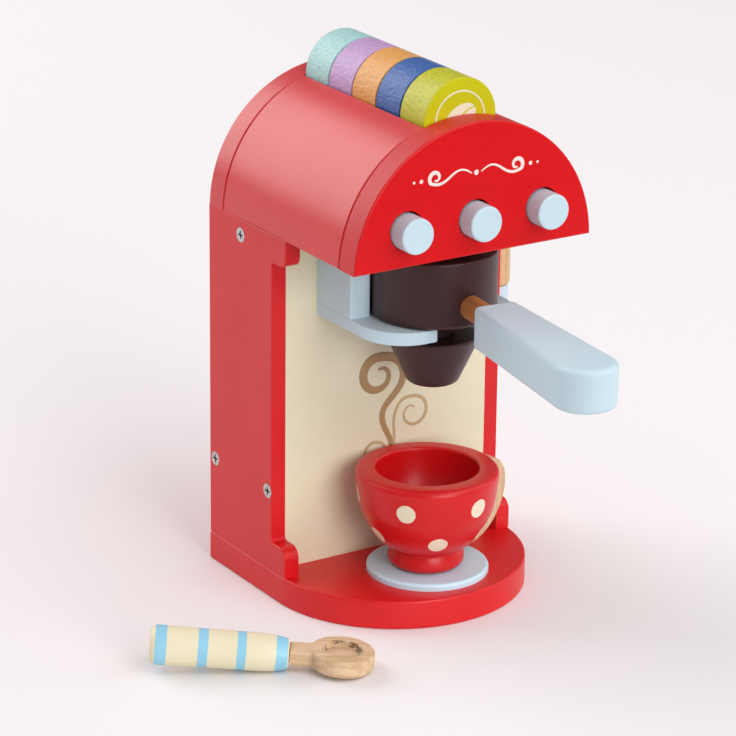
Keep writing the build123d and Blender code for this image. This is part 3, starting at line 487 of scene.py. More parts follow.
@dataclass(frozen=True)
class BareWood:
    """Sanded wood without a coat: matt, with year rings and short dark flecks along the fibres.

    Attributes:
        name: the material's name.
        colour: hex colour of the early wood.
        late: hex colour of the late wood's rings.
        fleck: hex colour of the flecks.
        fibre: the direction of the fibres, in the piece's own axes.
        ring: width of a year ring, in millimetres.
        ring_length: how far a ring runs before it strays, in millimetres.
        strand: width and length of a bundle of fibres, in millimetres; a single fibre is too fine
            to show.
        fleck_size: width and length of a fleck, in millimetres.
        roughness: roughness of the sanded face.
        flecked: how strongly the flecks show, 0 to 1.
        pose: the piece's own axes.
    """

    name: str
    colour: str
    late: str
    fleck: str
    fibre: Fibre = Fibre.Z
    ring: float = 2.6
    ring_length: float = 60.0
    strand: tuple[float, float] = (0.5, 9.0)
    fleck_size: tuple[float, float] = (0.45, 2.4)
    roughness: float = 0.55
    flecked: float = 0.75
    pose: Pose = Pose()

    def stain(self, tree: bpy.types.NodeTree, coords: Socket, wood: Socket) -> Socket:
        """The wood's colour with any local stain on it; none by default."""
        return wood

    def build(self) -> bpy.types.Material:
        """Make the material.

        Returns:
            The wood.
        """
        material, tree = new_material(self.name)
        coords = add_node(tree, "TexCoord").outputs["Object"]
        year, bundle, dash = (self.fibre.cells(*size) for size in (
            (self.ring, self.ring_length), self.strand, self.fleck_size))
        rings = noise(tree, self.pose.mapped(tree, coords, year), 2.0)
        fibres = noise(tree, self.pose.mapped(tree, coords, bundle), 3.0, 0.6)
        flecks = noise(tree, self.pose.mapped(tree, coords, dash), 1.0)
        marks = spread(tree, flecks, 0.60, 0.70, 0.0, self.flecked)
        bands = blend_colours(tree, spread(tree, rings, 0.38, 0.62), linear(self.colour),
                              linear(self.late))
        streaks = blend_colours(tree, spread(tree, fibres, 0.45, 0.75, 0.0, 0.35), bands,
                                linear(self.late))
        wood = blend_colours(tree, marks, streaks, linear(self.fleck))
        shader = add_node(tree, "BsdfPrincipled", None, {
            "Base Color": self.stain(tree, coords, wood), "Roughness": self.roughness, "IOR": 1.45,
            "Normal": bumped(tree, [(fibres, 0.05), (flecks, 0.03)])})
        add_node(tree, "OutputMaterial", None, {"Surface": shader.outputs["BSDF"]})
        return material


@dataclass(frozen=True)
class ScorchedWood(BareWood):
    """Bare wood with the dark rub marks that a milling cutter leaves round a hollow.

    Attributes:
        hollow: the hollow's middle, in millimetres.
        radius: radius of the hollow's edge, in millimetres.
        mark: hex colour of the marks.
        line: how far they reach from the edge, in millimetres: up to where they are full, and to
            where they end.
        gaps: size of the breaks between them along each of the piece's own axes, in millimetres.
    """

    hollow: tuple[float, float, float] = (0.0, 0.0, 0.0)
    radius: float = 10.0
    mark: str = "523220"
    line: tuple[float, float] = (0.2, 1.5)
    gaps: tuple[float, float, float] = (6.0, 3.4, 3.4)

    def stain(self, tree: bpy.types.NodeTree, coords: Socket, wood: Socket) -> Socket:
        """Put broken dark marks in a narrow ring at the hollow's edge.

        Args:
            tree: the material's node tree.
            coords: the piece's coordinates.
            wood: the wood's colour.

        Returns:
            The colour with the marks on it.
        """
        centre = tuple(c * MM for c in self.hollow)
        distance = add_node(tree, "VectorMath", {"operation": "DISTANCE"}, {
            0: coords, 1: centre}).outputs["Value"]
        off = maths(tree, "ABSOLUTE", maths(tree, "SUBTRACT", distance, self.radius * MM))
        ring = spread(tree, off, self.line[1] * MM, self.line[0] * MM)
        broken = noise(tree, self.pose.mapped(tree, coords, Vector(self.gaps) * MM), 3.0, 0.65)
        mask = maths(tree, "MULTIPLY", ring, spread(tree, broken, 0.47, 0.57, 0.0, 0.85))
        return blend_colours(tree, mask, wood, linear(self.mark))


@dataclass(frozen=True)
class Steel:
    """Steel wire or a zinced screw: bright, finely scratched metal.

    Attributes:
        name: the material's name.
        colour: hex colour of the metal.
        roughness: roughness between the scratches.
        scratched: hex colour in the scratches.
        scratch_size: width and length of a scratch, in millimetres; real ones are finer, and
            would not show.
    """

    name: str
    colour: str
    roughness: float
    scratched: str = "8E9094"
    scratch_size: tuple[float, float] = (0.3, 2.5)

    def build(self) -> bpy.types.Material:
        """Make the material.

        Returns:
            The metal.
        """
        material, tree = new_material(self.name)
        coords = add_node(tree, "TexCoord").outputs["Object"]
        cell = Fibre.Z.cells(*self.scratch_size)
        scratch = noise(tree, Pose().mapped(tree, coords, cell), 2.0)
        tint = blend_colours(tree, spread(tree, scratch, 0.3, 0.7), linear(self.colour),
                             linear(self.scratched))
        rough = spread(tree, scratch, 0.2, 0.8, self.roughness - 0.08, self.roughness + 0.1)
        shader = add_node(tree, "BsdfPrincipled", None, {
            "Base Color": tint, "Metallic": 1.0, "Roughness": rough,
            "Normal": bumped(tree, [(scratch, 0.004)])})
        add_node(tree, "OutputMaterial", None, {"Surface": shader.outputs["BSDF"]})
        return material


# ---- printed strokes -------------------------------------------------------------------------

@dataclass(frozen=True)
class Curl:
    """A stroke's spiral end.

    Attributes:
        centre: x and z of its middle, in millimetres.
        radius: radius where it starts.
        inner: radius where it ends.
        start: angle where it starts, in degrees from +X towards +Z.
        turn: how far it turns, in degrees; negative is clockwise.
        hold: how long the radius stays near the first one; 1 is an even spiral.
    """

    centre: tuple[float, float]
    radius: float
    inner: float
    start: float
    turn: float
    hold: float = 2.0

    def points(self, step: float = 22.5) -> list[tuple[float, float]]:
        """Points along the spiral.

        Args:
            step: how many degrees they are apart.

        Returns:
            x and z of each, in millimetres.
        """
        count = round(abs(self.turn) / step)
        places = []
        for k in range(count + 1):
            share = k / count
            reach = self.inner + (self.radius - self.inner) * (1 - share ** self.hold)
            angle = math.radians(self.start + self.turn * share)
            places.append((self.centre[0] + reach * math.cos(angle),
                           self.centre[1] + reach * math.sin(angle)))
        return places


@dataclass(frozen=True)
class Stroke:
    """A printed line on a face that looks to -Y.

    Attributes:
        points: x and z of the points that it follows, in millimetres.
        widths: width at the start, at the middle and at the end, in millimetres.
        closed: whether it runs back to its start.
    """

    points: tuple[tuple[float, float], ...]
    widths: tuple[float, float, float]
    closed: bool = False

    def width_at(self, share: float) -> float:
        """Width at a place along the stroke.

        Args:
            share: the place, from 0 at the start to 1 at the end.

        Returns:
            The width in millimetres.
        """
        start, middle, end = self.widths
        if share < 0.5:
            return start + (middle - start) * share * 2
        return middle + (end - middle) * (share * 2 - 1)

    def add_to(self, bm: bmesh.types.BMesh, y: float, thickness: float) -> None:
        """Add the stroke to a bmesh as a flat ribbon, half sunk into the face.

        Args:
            bm: the bmesh that gets it.
            y: the face's place, in metres.
            thickness: of the ribbon at its middle, in millimetres.
        """
        curve = bpy.data.curves.new("stroke", "CURVE")
        curve.dimensions = "3D"
        curve.bevel_depth = MM
        curve.bevel_resolution = 3
        curve.resolution_u = 6
        curve.use_fill_caps = True
        spline = curve.splines.new("NURBS")
        spline.points.add(len(self.points) - 1)
        for k, (x, z) in enumerate(self.points):
            spline.points[k].co = (x * MM, 0.0, z * MM, 1.0)
            spline.points[k].radius = self.width_at(k / (len(self.points) - 1)) / 2
        spline.order_u = 4
        spline.use_endpoint_u = not self.closed
        spline.use_cyclic_u = self.closed
        holder = bpy.data.objects.new("stroke", curve)
        ribbon = bpy.data.meshes.new_from_object(holder)
        widest = max(self.widths)
        ribbon.transform(Matrix.Translation((0, y, 0)) @ Matrix.Diagonal(
            (1, thickness / widest, 1, 1)))
        bm.from_mesh(ribbon)
        bpy.data.objects.remove(holder)
        bpy.data.curves.remove(curve)
        bpy.data.meshes.remove(ribbon)


def print_strokes(name: str, strokes: Iterable[Stroke], y: float, thickness: float,
                  material: bpy.types.Material, body: str) -> bpy.types.Object:
    """Print strokes on a face as one piece.

    Args:
        name: the piece's name.
        strokes: the strokes.
        y: the face's place, in metres.
        thickness: of the ink, in millimetres.
        material: the ink.
        body: the body that carries it.

    Returns:
        The new object.
    """
    bm = bmesh.new()
    for stroke in strokes:
        stroke.add_to(bm, y, thickness)
    bmesh.ops.remove_doubles(bm, verts=bm.verts, dist=SAME_PLACE)
    return add_piece(name, bm, material, body)


def mirrored(points: Iterable[tuple[float, float]]) -> tuple[tuple[float, float], ...]:
    """The same points on the other side of x = 0."""
    return tuple((-x, z) for x, z in points)


# ---- the object's groups ---------------------------------------------------------------------

@dataclass(frozen=True)
class Spring:
    """Coil spring behind a push button: it is squeezed between the button and the backing board.

    Attributes:
        side: left, middle or right.
        wire: radius of the wire, in millimetres.
        turns: number of turns.
        steps: facets in one turn.
        wire_sides: facets round the wire.
    """

    side: str
    wire: float = 0.45
    turns: int = 6
    steps: int = 24
    wire_sides: int = 10

    def coil(self, low: Vector, high: Vector) -> bmesh.types.BMesh:
        """Wind the wire round the y axis.

        Args:
            low: the lower corner of the spring's box, in metres.
            high: the upper corner.

        Returns:
            The coil as a closed mesh.
        """
        wire, rounds = self.wire * MM, self.turns * self.steps
        radius = (high.x - low.x) / 2 - wire
        step = (high.y - low.y - 2 * wire) / rounds
        bm = bmesh.new()
        start = Matrix.Translation((low.x + wire + 2 * radius, low.y + wire, (low.z + high.z) / 2))
        ring = bmesh.ops.create_circle(bm, cap_ends=False, radius=wire, segments=self.wire_sides,
                                       matrix=start)
        bmesh.ops.spin(bm, geom=ring["verts"] + bm.edges[:], axis=(0, 1, 0), dvec=(0, step, 0),
                       cent=((low.x + high.x) / 2, 0, (low.z + high.z) / 2),
                       angle=2 * math.pi * self.turns, steps=rounds)
        bmesh.ops.holes_fill(bm, edges=[e for e in bm.edges if e.is_boundary], sides=0)
        return bm

    def build(self, material: bpy.types.Material) -> None:
        """Make the spring in its CAD node's box, and hide the node.

        Args:
            material: the wire's finish.
        """
        node, button = f"button_spring_{self.side}", f"{self.side}_push_button"
        low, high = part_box(node)
        piece = add_piece(f"coil_spring_{self.side}", self.coil(low, high), material, None)
        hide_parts(node)
        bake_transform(piece)


@dataclass(frozen=True)
class Casing:
    """Base, panels, boards and head, with their two prints.

    Attributes:
        red: hex colour of the casing.
        cream: hex colour of the front board.
        steam_ink: hex colour of the thick curl of steam.
        thin_steam_ink: hex colour of the thin curls.
        white_ink: hex colour of the scroll.
        ink_thickness: of the prints, in millimetres.
        dot_height: z of the scroll's dots, in millimetres.
        dots: x and width of each of them; each stands on both sides of the middle.
    """

    red: str = "D80B13"
    cream: str = "E6DFC2"
    steam_ink: str = "B08E62"
    thin_steam_ink: str = "C4AC80"
    white_ink: str = "F3E6DE"
    ink_thickness: float = 0.10
    dot_height: float = 206.6
    dots: tuple[tuple[float, float], ...] = ((0.0, 2.6), (27.6, 2.0), (31.2, 1.4))

    def lacquers(self) -> None:
        """Spray each piece with the fibres running its own way."""
        red = self.red
        # Sanded and sprayed board: an even satin red, the fibres hardly felt.
        dress(["base_plate"], Lacquer("red_lacquer_base", red, Fibre.X, relief=0.008).build())
        # The same coat on upright boards: satin, with faint lines from top to bottom.
        dress(["side_panel_left", "side_panel_right", "back_board"],
              Lacquer("red_lacquer_panels", red, Fibre.Z).build())
        dress(["top_rail"], Lacquer("red_lacquer_rail", red, Fibre.X).build())
        # Sawn half disc: a quiet matt face, and a rim that drinks the paint and stays grainy.
        dress(["head_front_plate"],
              Lacquer("red_lacquer_front_plate", red, Fibre.X, Fibre.Y, end_relief=0.22, ior=1.54,
                      face_gloss=0.24).build())
        # Its rear twin is filled and rubbed down with the shell: a smooth rim with a wide shine.
        dress(["head_back_plate"],
              Lacquer("red_lacquer_back_plate", red, Fibre.X, Fibre.Y, relief=0.006,
                      end_relief=0.01, roughness=0.33, end_rough=0.0, ior=1.66).build())
        # Thin bent plywood, filled and sprayed: the smoothest red, with the clearest shine.
        dress(["head_shell_left", "head_shell_right", "pod_trough"],
              Lacquer("red_lacquer_shell", red, Fibre.Y, relief=0.004, peel=0.002, roughness=0.33,
                      ior=1.66).build())
        # Cream coat on the board behind the cup: warm, plain and satin below the print.
        dress(["front_board"],
              Lacquer("cream_lacquer_board", self.cream, Fibre.Z, relief=0.008,
                      shade=0.06).build())

    def inner_parts(self) -> None:
        """Dress what holds the machine together."""
        # Birch plywood as it leaves the saw: matt and pale, with broad rings.
        ply = BareWood("plywood_inside", "CDB083", "B8945F", "8C6A3E", Fibre.X, ring=5.0)
        dress(["head_floor", "head_cleat", "button_backing"], ply.build())
        # Rolled beech dowels: matt and a little darker, as the glue has soaked in.
        peg = BareWood("beech_glue_dowels", "C8A078", "B48A5E", "8E6840", Fibre.Y)
        dress(["head_pegs", "fork_pegs", "wand_pin"], peg.build())
        # Zinc-plated steel, tumbled: pale and bright, with a soft mirror.
        dress(["panel_screws", "base_screws", "head_screws", "block_screws"],
              Steel("zinced_screws", "E4E4E0", 0.28).build())

    def steam(self) -> None:
        """Three curls of steam that rise from the cup, printed on the front board."""
        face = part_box("front_board")[0].y
        big = ((2.4, 50.0), (3.4, 57.0), (2.9, 63.3), (-0.7, 69.0), (-2.7, 74.3), (-2.1, 79.1),
               (1.2, 82.6), (5.7, 86.7), (8.2, 90.4), (9.0, 95.1), (7.0, 100.4), (2.3, 103.6))
        big_curl = Curl((-4.4, 95.8), 8.7, 2.3, 95, 360)
        slim = ((2.9, 52.0), (4.6, 63.0), (3.7, 69.8), (3.8, 74.7), (5.9, 80.1), (9.5, 82.7))
        slim_curl = Curl((14.1, 75.2), 7.4, 1.8, 90, -380, 2.4)
        low = ((2.2, 50.0), (1.6, 55.0), (0.2, 59.6), (-1.7, 62.6))
        low_curl = Curl((-6.6, 58.6), 5.6, 1.5, 60, 330, 1.6)
        # Brown ink from a soft pad: flat and matt, a little uneven where it is thick.
        ink = Lacquer("brown_pad_print", self.steam_ink, relief=0.0, shade=0.25, roughness=0.42)
        # The same ink in thin lines: paler, because the cream shows through.
        light = Lacquer("light_brown_pad_print", self.thin_steam_ink, relief=0.0, shade=0.2,
                        roughness=0.42)
        print_strokes("steam_print", [Stroke(big + tuple(big_curl.points()), (2.4, 5.0, 1.3))],
                      face, self.ink_thickness, ink.build(), "machine")
        print_strokes("slim_steam_print", [
            Stroke(slim + tuple(slim_curl.points()), (1.5, 1.9, 0.8)),
            Stroke(low + tuple(low_curl.points()), (1.5, 1.7, 0.8))],
            face, self.ink_thickness, light.build(), "machine")

    def ornament(self) -> None:
        """A plain mirrored scroll with dots above the buttons."""
        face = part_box("head_front_plate")[0].y
        wave = ((2.4, 206.6), (6.0, 209.4), (10.5, 208.8), (14.5, 205.2), (19.0, 203.6),
                (23.0, 205.0))
        curl = Curl((20.6, 207.0), 3.1, 0.9, -35, 330, 1.6)
        right = wave + tuple(curl.points(30))
        strokes = [Stroke(right, (0.7, 2.1, 0.7)), Stroke(mirrored(right), (0.7, 2.1, 0.7))]
        for x, size in self.dots:
            for side in (-1, 1):
                dot = Curl((side * x, self.dot_height), size / 4, size / 4, 0, 360, 1.0).points(45)
                strokes.append(Stroke(tuple(dot), (size / 2,) * 3))
        # White ink from a soft pad, laid on thick: plain and matt, and the red hardly tints it.
        ink = Lacquer("white_pad_print", self.white_ink, relief=0.0, shade=0.03, roughness=0.4)
        print_strokes("scroll_print", strokes, face, self.ink_thickness, ink.build(), "machine")

    def build(self) -> None:
        """Dress and print the casing."""
        self.lacquers()
        self.inner_parts()
        self.steam()
        self.ornament()


@dataclass(frozen=True)
class Controls:
    """Push buttons with their springs, fork and filter holder.

    Attributes:
        pale: hex colour of buttons, fork and handle.
        dark: hex colour of the filter holder.
        holder_middle: where the handle's line meets the holder's axis, in millimetres.
        handle_turn: the handle's turn about that axis, in degrees.
        sides: the buttons from left to right.
    """

    pale: str = "C8DFEA"
    dark: str = "3C2021"
    holder_middle: tuple[float, float, float] = (0.0, -30.2, 146.0)
    handle_turn: float = -6.3
    sides: tuple[str, ...] = ("left", "middle", "right")

    def build(self) -> None:
        """Dress the controls and wind the springs."""
        turn = Pose(tuple(c * MM for c in self.holder_middle), (0, 0, self.handle_turn))
        # Turned beech, dipped in pale blue: satin all over, its end grain nearly filled.
        dress([f"button_{side}" for side in self.sides],
              Lacquer("pale_blue_lacquer_buttons", self.pale, Fibre.Y, Fibre.Y, shade=0.05,
                      end_relief=0.02).build())
        # The same blue, sprayed with more matting powder: nearly no highlights.
        dress(["fork_plate", "fork_block_left", "fork_block_right"],
              Lacquer("pale_blue_lacquer_fork", self.pale, Fibre.X, ior=1.40, shade=0.06).build())
        dress(["holder_handle"],
              Lacquer("pale_blue_lacquer_handle", self.pale, Fibre.Y, ior=1.40, shade=0.06,
                      pose=turn).build())
        # Chocolate brown on turned wood: dark and matt, with upright fibres felt under it.
        dress(["holder_body", "holder_spout"],
              Lacquer("chocolate_lacquer", self.dark, Fibre.Z, relief=0.02, roughness=0.38,
                      ior=1.40, shade=0.2).build())
        # Bare reddish hardwood rod, sanded: warmer and smoother than the beech.
        dress(["holder_dowel"],
              BareWood("warm_hardwood_dowel", "BE7C48", "AA6A3A", "7E4A28", Fibre.Y, ring=1.8,
                       roughness=0.48, flecked=0.4, pose=turn).build())
        # Drawn spring steel: darker than the screws, with fine lines along the wire.
        wire = Steel("spring_wire", "C8CACC", 0.25).build()
        for side in self.sides:
            Spring(side).build(wire)


@dataclass(frozen=True)
class Pods:
    """Five pods with a ring and a coffee bean printed on their front faces.

    Attributes:
        colours: hex colour of each pod, from the rear to the front.
        edges: hex colour of the painted shade line at each pod's rear edge, where it meets the pod
            behind.
        names: what each pod's finish and print are called.
        ink: hex colour of the print.
        ring_radius: radius of the ring, in millimetres.
        ring_width: width of its line.
        bean_long: half the bean's length.
        bean_short: half its width.
        bean_lean: its turn in the face, in degrees.
        crease_wave: how far the bean's crease swings out, as a share of half its width.
        crease_rise: how far the crease stands out in front of the bean's middle, in millimetres.
        ink_thickness: of the print, in millimetres.
    """

    colours: tuple[str, ...] = ("B2E0DE", "CBA2D5", "EFA956", "3263AE", "CDCC18")
    # Dark copies of the pods' colours, for their painted shade lines.
    edges: tuple[str, ...] = ("5E8A8C", "4A3A58", "B07838", "1E2E50", "26281A")
    names: tuple[str, ...] = ("aqua", "purple", "orange", "blue", "lime")
    ink: str = "ECECD0"
    ring_radius: float = 12.4
    ring_width: float = 0.8
    bean_long: float = 8.6
    bean_short: float = 5.9
    bean_lean: float = -32.0
    crease_wave: float = 0.28
    crease_rise: float = 0.03
    ink_thickness: float = 0.10

    def bean(self, bm: bmesh.types.BMesh, centre: Vector) -> None:
        """Add an oval with a rounded edge, half sunk in the pod's face.

        Args:
            bm: the bmesh that gets it.
            centre: the middle of the face, in metres.
        """
        made = bmesh.ops.create_uvsphere(bm, u_segments=48, v_segments=16, radius=1.0)
        place = (Matrix.Translation(centre) @ Matrix.Rotation(math.radians(self.bean_lean), 4, "Y")
                 @ Matrix.Diagonal((self.bean_long * MM, self.ink_thickness / 2 * MM,
                                    self.bean_short * MM, 1)))
        bmesh.ops.transform(bm, matrix=place, verts=made["verts"])

    def print_on(self, number: int, colour: str, ink: bpy.types.Material,
                 paint: bpy.types.Material) -> None:
        """Print the ring and the bean on one pod.

        Args:
            number: the pod's number, counted from the rear.
            colour: the pod's name.
            ink: finish of ring and bean.
            paint: the pod's own finish, which shows in the bean's crease.
        """
        low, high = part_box(f"pod_{number}")
        middle = Vector(((low.x + high.x) / 2, low.y, (low.z + high.z) / 2))
        body = f"loose_pod_{number}"
        bm = bmesh.new()
        centre = (middle.x / MM, middle.z / MM)
        ring = Curl(centre, self.ring_radius, self.ring_radius, 0, 345, 1.0).points(15)
        Stroke(tuple(ring), (self.ring_width,) * 3, closed=True).add_to(
            bm, middle.y, self.ink_thickness)
        self.bean(bm, middle)
        add_piece(f"{colour}_pod_print", bm, ink, body)
        lean = Matrix.Rotation(math.radians(-self.bean_lean), 2)
        crease = []
        for share in (-0.98, -0.6, -0.2, 0.2, 0.6, 0.98):
            offset = lean @ Vector((share * self.bean_long,
                                    self.crease_wave * self.bean_short
                                    * math.sin(share * math.pi)))
            crease.append((centre[0] + offset.x, centre[1] + offset.y))
        print_strokes(f"{colour}_pod_crease", [Stroke(tuple(crease), (0.5, 1.2, 0.5))],
                      middle.y - self.crease_rise * MM, self.ink_thickness, paint, body)

    def build(self) -> None:
        """Dress and print the pods."""
        # Cream ink from a soft pad: flat and matt on the glossy face.
        ink = Lacquer("cream_pad_print", self.ink, relief=0.0, shade=0.05, roughness=0.42).build()
        rows = zip(self.colours, self.edges, self.names)
        for number, (colour, edge, name) in enumerate(rows, start=1):
            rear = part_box(f"pod_{number}")[1].y / MM
            # Sawn beech rod with a glossy coat: smooth faces, and round sides with coarse specks.
            # A painted shade line runs round each pod's rear edge, where the pod behind meets it.
            paint = JointShadedLacquer(f"{name}_lacquer_pod", colour, Fibre.Y, Fibre.Y, end_relief=0.55,
                                 roughness=0.24, end_rough=0.0, speck=1.5, ior=1.45, shade=0.06,
                                 edge=rear, joint_shade_colour=edge).build()
            dress([f"pod_{number}"], paint)
            self.print_on(number, name, ink, paint)


@dataclass(frozen=True)
class TurnedCup:
    """The cup's bowl with its foot, turned in one piece.

    The pairs are a radius and a height over the foot, in millimetres.

    Attributes:
        foot: from under the foot to the neck, without the round of its lower corner.
        bowl: from the neck to below the rim.
        rim: outer and inner corner of the rim, before they are rounded.
        hollow: from below the rim down to the middle of the hollow.
        rounds: radius of the foot's corner, of the rim's outer and of its inner corner.
        steps: facets round the cup.
        round_steps: facets in each round.
    """

    foot: tuple[tuple[float, float], ...] = ((0.0, 0.0), (17.0, 0.0), (16.98, 4.08),
                                             (16.66, 6.10), (16.22, 7.39))
    bowl: tuple[tuple[float, float], ...] = (
        (15.6, 8.6), (19.884, 11.06), (23.274, 14.681), (25.905, 18.884), (28.106, 23.335),
        (29.942, 27.941), (30.829, 32.821), (31.54, 37.721), (31.98, 41.2))
    rim: tuple[tuple[float, float], ...] = ((32.1, 45.5), (23.0, 45.5))
    hollow: tuple[tuple[float, float], ...] = (
        (22.96, 43.2), (22.769, 39.349), (21.966, 34.461), (20.385, 29.769), (17.807, 25.55),
        (14.176, 22.2), (9.757, 19.983), (4.943, 18.83), (0.0, 18.5))
    rounds: tuple[float, float, float] = (3.35, 3.0, 1.2)
    steps: int = 128
    round_steps: int = 8

    @staticmethod
    def eased(points: tuple[tuple[float, float], ...], cuts: int = 5) -> list[Vector]:
        """A smooth line through points.

        Args:
            points: radius and height of each.
            cuts: how many places there are from one point to the next.

        Returns:
            The places along the line, the first and the last point included.
        """
        row = [Vector((r, 0, z)) for r, z in points]
        row = [2 * row[0] - row[1], *row, 2 * row[-1] - row[-2]]
        line = [row[1]]
        for before, start, end, after in zip(row, row[1:], row[2:], row[3:]):
            line += interpolate_bezier(start, start + (end - before) / 6,
                                       end - (after - start) / 6, end, cuts)[1:]
        return line

    def shape(self, low: Vector, high: Vector) -> bmesh.types.BMesh:
        """Turn the cup.

        Args:
            low: the lower corner of the cup's box, in metres.
            high: the upper corner.

        Returns:
            The cup as a closed mesh.
        """
        foot, rim = ([Vector((r, 0, z)) for r, z in row] for row in (self.foot, self.rim))
        line = foot + self.eased(self.bowl) + rim + self.eased(self.hollow)
        bm = bmesh.new()
        dots = [bm.verts.new(place * MM) for place in line]
        sides = [bm.edges.new(pair) for pair in zip(dots, dots[1:])]
        bmesh.ops.spin(bm, geom=dots + sides, axis=(0, 0, 1), cent=(0, 0, 0), steps=self.steps,
                       angle=2 * math.pi, use_merge=True)
        bmesh.ops.remove_doubles(bm, verts=bm.verts, dist=SAME_PLACE)
        near = 0.001 * MM
        for (reach, height), size in zip((self.foot[1], *self.rim), self.rounds):
            ring = [e for e in bm.edges if all(
                abs(math.hypot(v.co.x, v.co.y) - reach * MM) < near
                and abs(v.co.z - height * MM) < near for v in e.verts)]
            bmesh.ops.bevel(bm, geom=ring, offset=size * MM, segments=self.round_steps,
                            profile=0.5, affect="EDGES", material=-1)
        middle = (low + high) / 2
        bmesh.ops.translate(bm, verts=bm.verts, vec=(middle.x, middle.y, low.z))
        return bm

    def build(self, material: bpy.types.Material) -> None:
        """Make the cup in the place of its CAD node."""
        piece = add_piece("turned_cup", self.shape(*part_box("cup_body")), material, "cup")
        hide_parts("cup_body")


@dataclass(frozen=True)
class TableWare:
    """Saucer, cup, steam wand and spoon.

    Attributes:
        red: hex colour of the cup.
        pale: hex colour of the wand's tip.
        saucer_blue: hex colour of the saucer.
        spoon_cream: hex colour of the spoon's handle.
        cup_axis: x and y of the cup's axis, in millimetres.
        dot_rows: height, radius and angles of the cup's rows of dots.
        spoon_end: the free end of the spoon's handle, on its axis, in millimetres.
        spoon_turn: the spoon's turn in the plane of the floor, in degrees.
        spoon_slope: how far its handle slopes down towards the scoop, in degrees.
        spoon_bands: start and end of each blue band along the handle, in millimetres.
        scoop_reach: the middle of the scoop's hollow along the spoon, in millimetres.
        hollow_above: how far that point lies over the spoon's axis.
        hollow_radius: radius of the hollow's edge.
    """

    red: str = "D20E14"
    pale: str = "C8DFEA"
    saucer_blue: str = "CCECFA"
    spoon_cream: str = "E8DFBE"
    cup_axis: tuple[float, float] = (0.9, -26.1)
    dot_rows: tuple[tuple[float, float, tuple[float, ...]], ...] = (
        (50.8, 31.0, (-140.2, -76.2, -16.5, 43.0, 99.0, 155.0)),
        (34.4, 25.2, (-111.4, -51.0, 62.0, 120.0, 179.5)))
    spoon_end: tuple[float, float, float] = (-143.8, -33.4, 12.43)
    spoon_turn: float = -30.1
    spoon_slope: float = 4.86
    spoon_bands: tuple[tuple[float, float], ...] = (
        (2.3, 7.2), (20.6, 24.8), (37.2, 41.0), (53.8, 58.8))
    scoop_reach: float = 82.3
    hollow_above: float = 2.2
    hollow_radius: float = 8.3

    def cup(self) -> None:
        """Red cup with cream dots, its bare beech handle and the saucer."""
        # Turned beech, filled and sprayed on the lathe: smooth and satin, with soft highlights.
        TurnedCup().build(DottedLacquer("red_lacquer_dotted_cup", self.red, Fibre.Z,
                                        relief=0.002, peel=0.001, roughness=0.33, ior=1.44,
                                        axis=self.cup_axis, rows=self.dot_rows).build())
        # Sawn beech, sanded and left bare: matt and pale, with brown flecks.
        dress(["cup_grip"], BareWood("beech_cup_handle", "D8B893", "C6A27C", "A68058",
                                     Fibre.Z).build())
        # Sprayed disc in a lighter blue: even and satin.
        dress(["saucer_disc"], Lacquer("pale_blue_lacquer_saucer", self.saucer_blue, Fibre.X,
                                       shade=0.05).build())

    def wand(self) -> None:
        """Beech barrel with a pale blue tip."""
        # Turned beech, sanded and left bare: matt, and warmer than the cup's handle.
        dress(["wand_barrel"], BareWood("beech_wand", "DEB68A", "CBA173", "A67E50",
                                        Fibre.Z).build())
        # Dipped end: satin, with the drawn-out fibres felt below it.
        dress(["wand_tip"], Lacquer("pale_blue_lacquer_wand_tip", self.pale, Fibre.Z,
                                    shade=0.05).build())

    def spoon(self) -> None:
        """Handle with painted bands, and a beech scoop with rub marks in its hollow."""
        place = tuple(c * MM for c in self.spoon_end)
        pose = Pose(place, (0.0, self.spoon_slope, self.spoon_turn))
        # Turned handle, sprayed cream, its bands painted on the lathe: smooth and satin.
        dress(["spoon_handle"], StripedLacquer(
            "cream_lacquer_banded", self.spoon_cream, Fibre.X, roughness=0.34, shade=0.05,
            pose=pose, bands=self.spoon_bands).build())
        along = (Euler(tuple(math.radians(a) for a in pose.turn)).to_matrix()
                 @ Vector((self.scoop_reach, 0, 0)))
        hollow = (self.spoon_end[0] + along.x, self.spoon_end[1] + along.y,
                  self.spoon_end[2] + along.z + self.hollow_above)
        # Milled beech, sanded: matt and pale, with dark rub marks round the hollow.
        dress(["spoon_scoop"], ScorchedWood(
            "beech_scoop", "E0C09E", "CEAC86", "A27C56", Fibre.X, ring=2.2, flecked=0.4, pose=pose,
            hollow=hollow, radius=self.hollow_radius).build())

    def build(self) -> None:
        """Dress the table ware."""
        self.cup()
        self.wand()
        self.spoon()


# ---- stage, lights and camera ----------------------------------------------------------------

@dataclass(frozen=True)
class Softbox:
    """A square soft light that looks at the object.

    Attributes:
        name: the light's name.
        azimuth: where it stands, in degrees from the front towards +X.
        elevation: its height above the horizon, in degrees.
        distance: from the object, in metres.
        size: length of its side, in metres.
        radiance: how bright its face is, where 1 is white.
        target: height of the point that it looks at, in metres.
    """

    name: str
    azimuth: float
    elevation: float
    distance: float
    size: float
    radiance: float
    target: float = 0.11

    def build(self) -> None:
        """Make the light, unseen by the camera."""
        turn, rise = math.radians(self.azimuth), math.radians(self.elevation)
        away = Vector((math.sin(turn) * math.cos(rise), -math.cos(turn) * math.cos(rise),
                       math.sin(rise)))
        data = bpy.data.lights.new(self.name, "AREA")
        data.shape = "SQUARE"
        data.size = self.size
        data.energy = self.radiance * math.pi * self.size ** 2
        light = bpy.data.objects.new(self.name, data)
        bpy.context.scene.collection.objects.link(light)
        light.location = Vector((0, 0, self.target)) + away * self.distance
        light.rotation_euler = away.to_track_quat("Z", "Y").to_euler()
        light.visible_camera = False


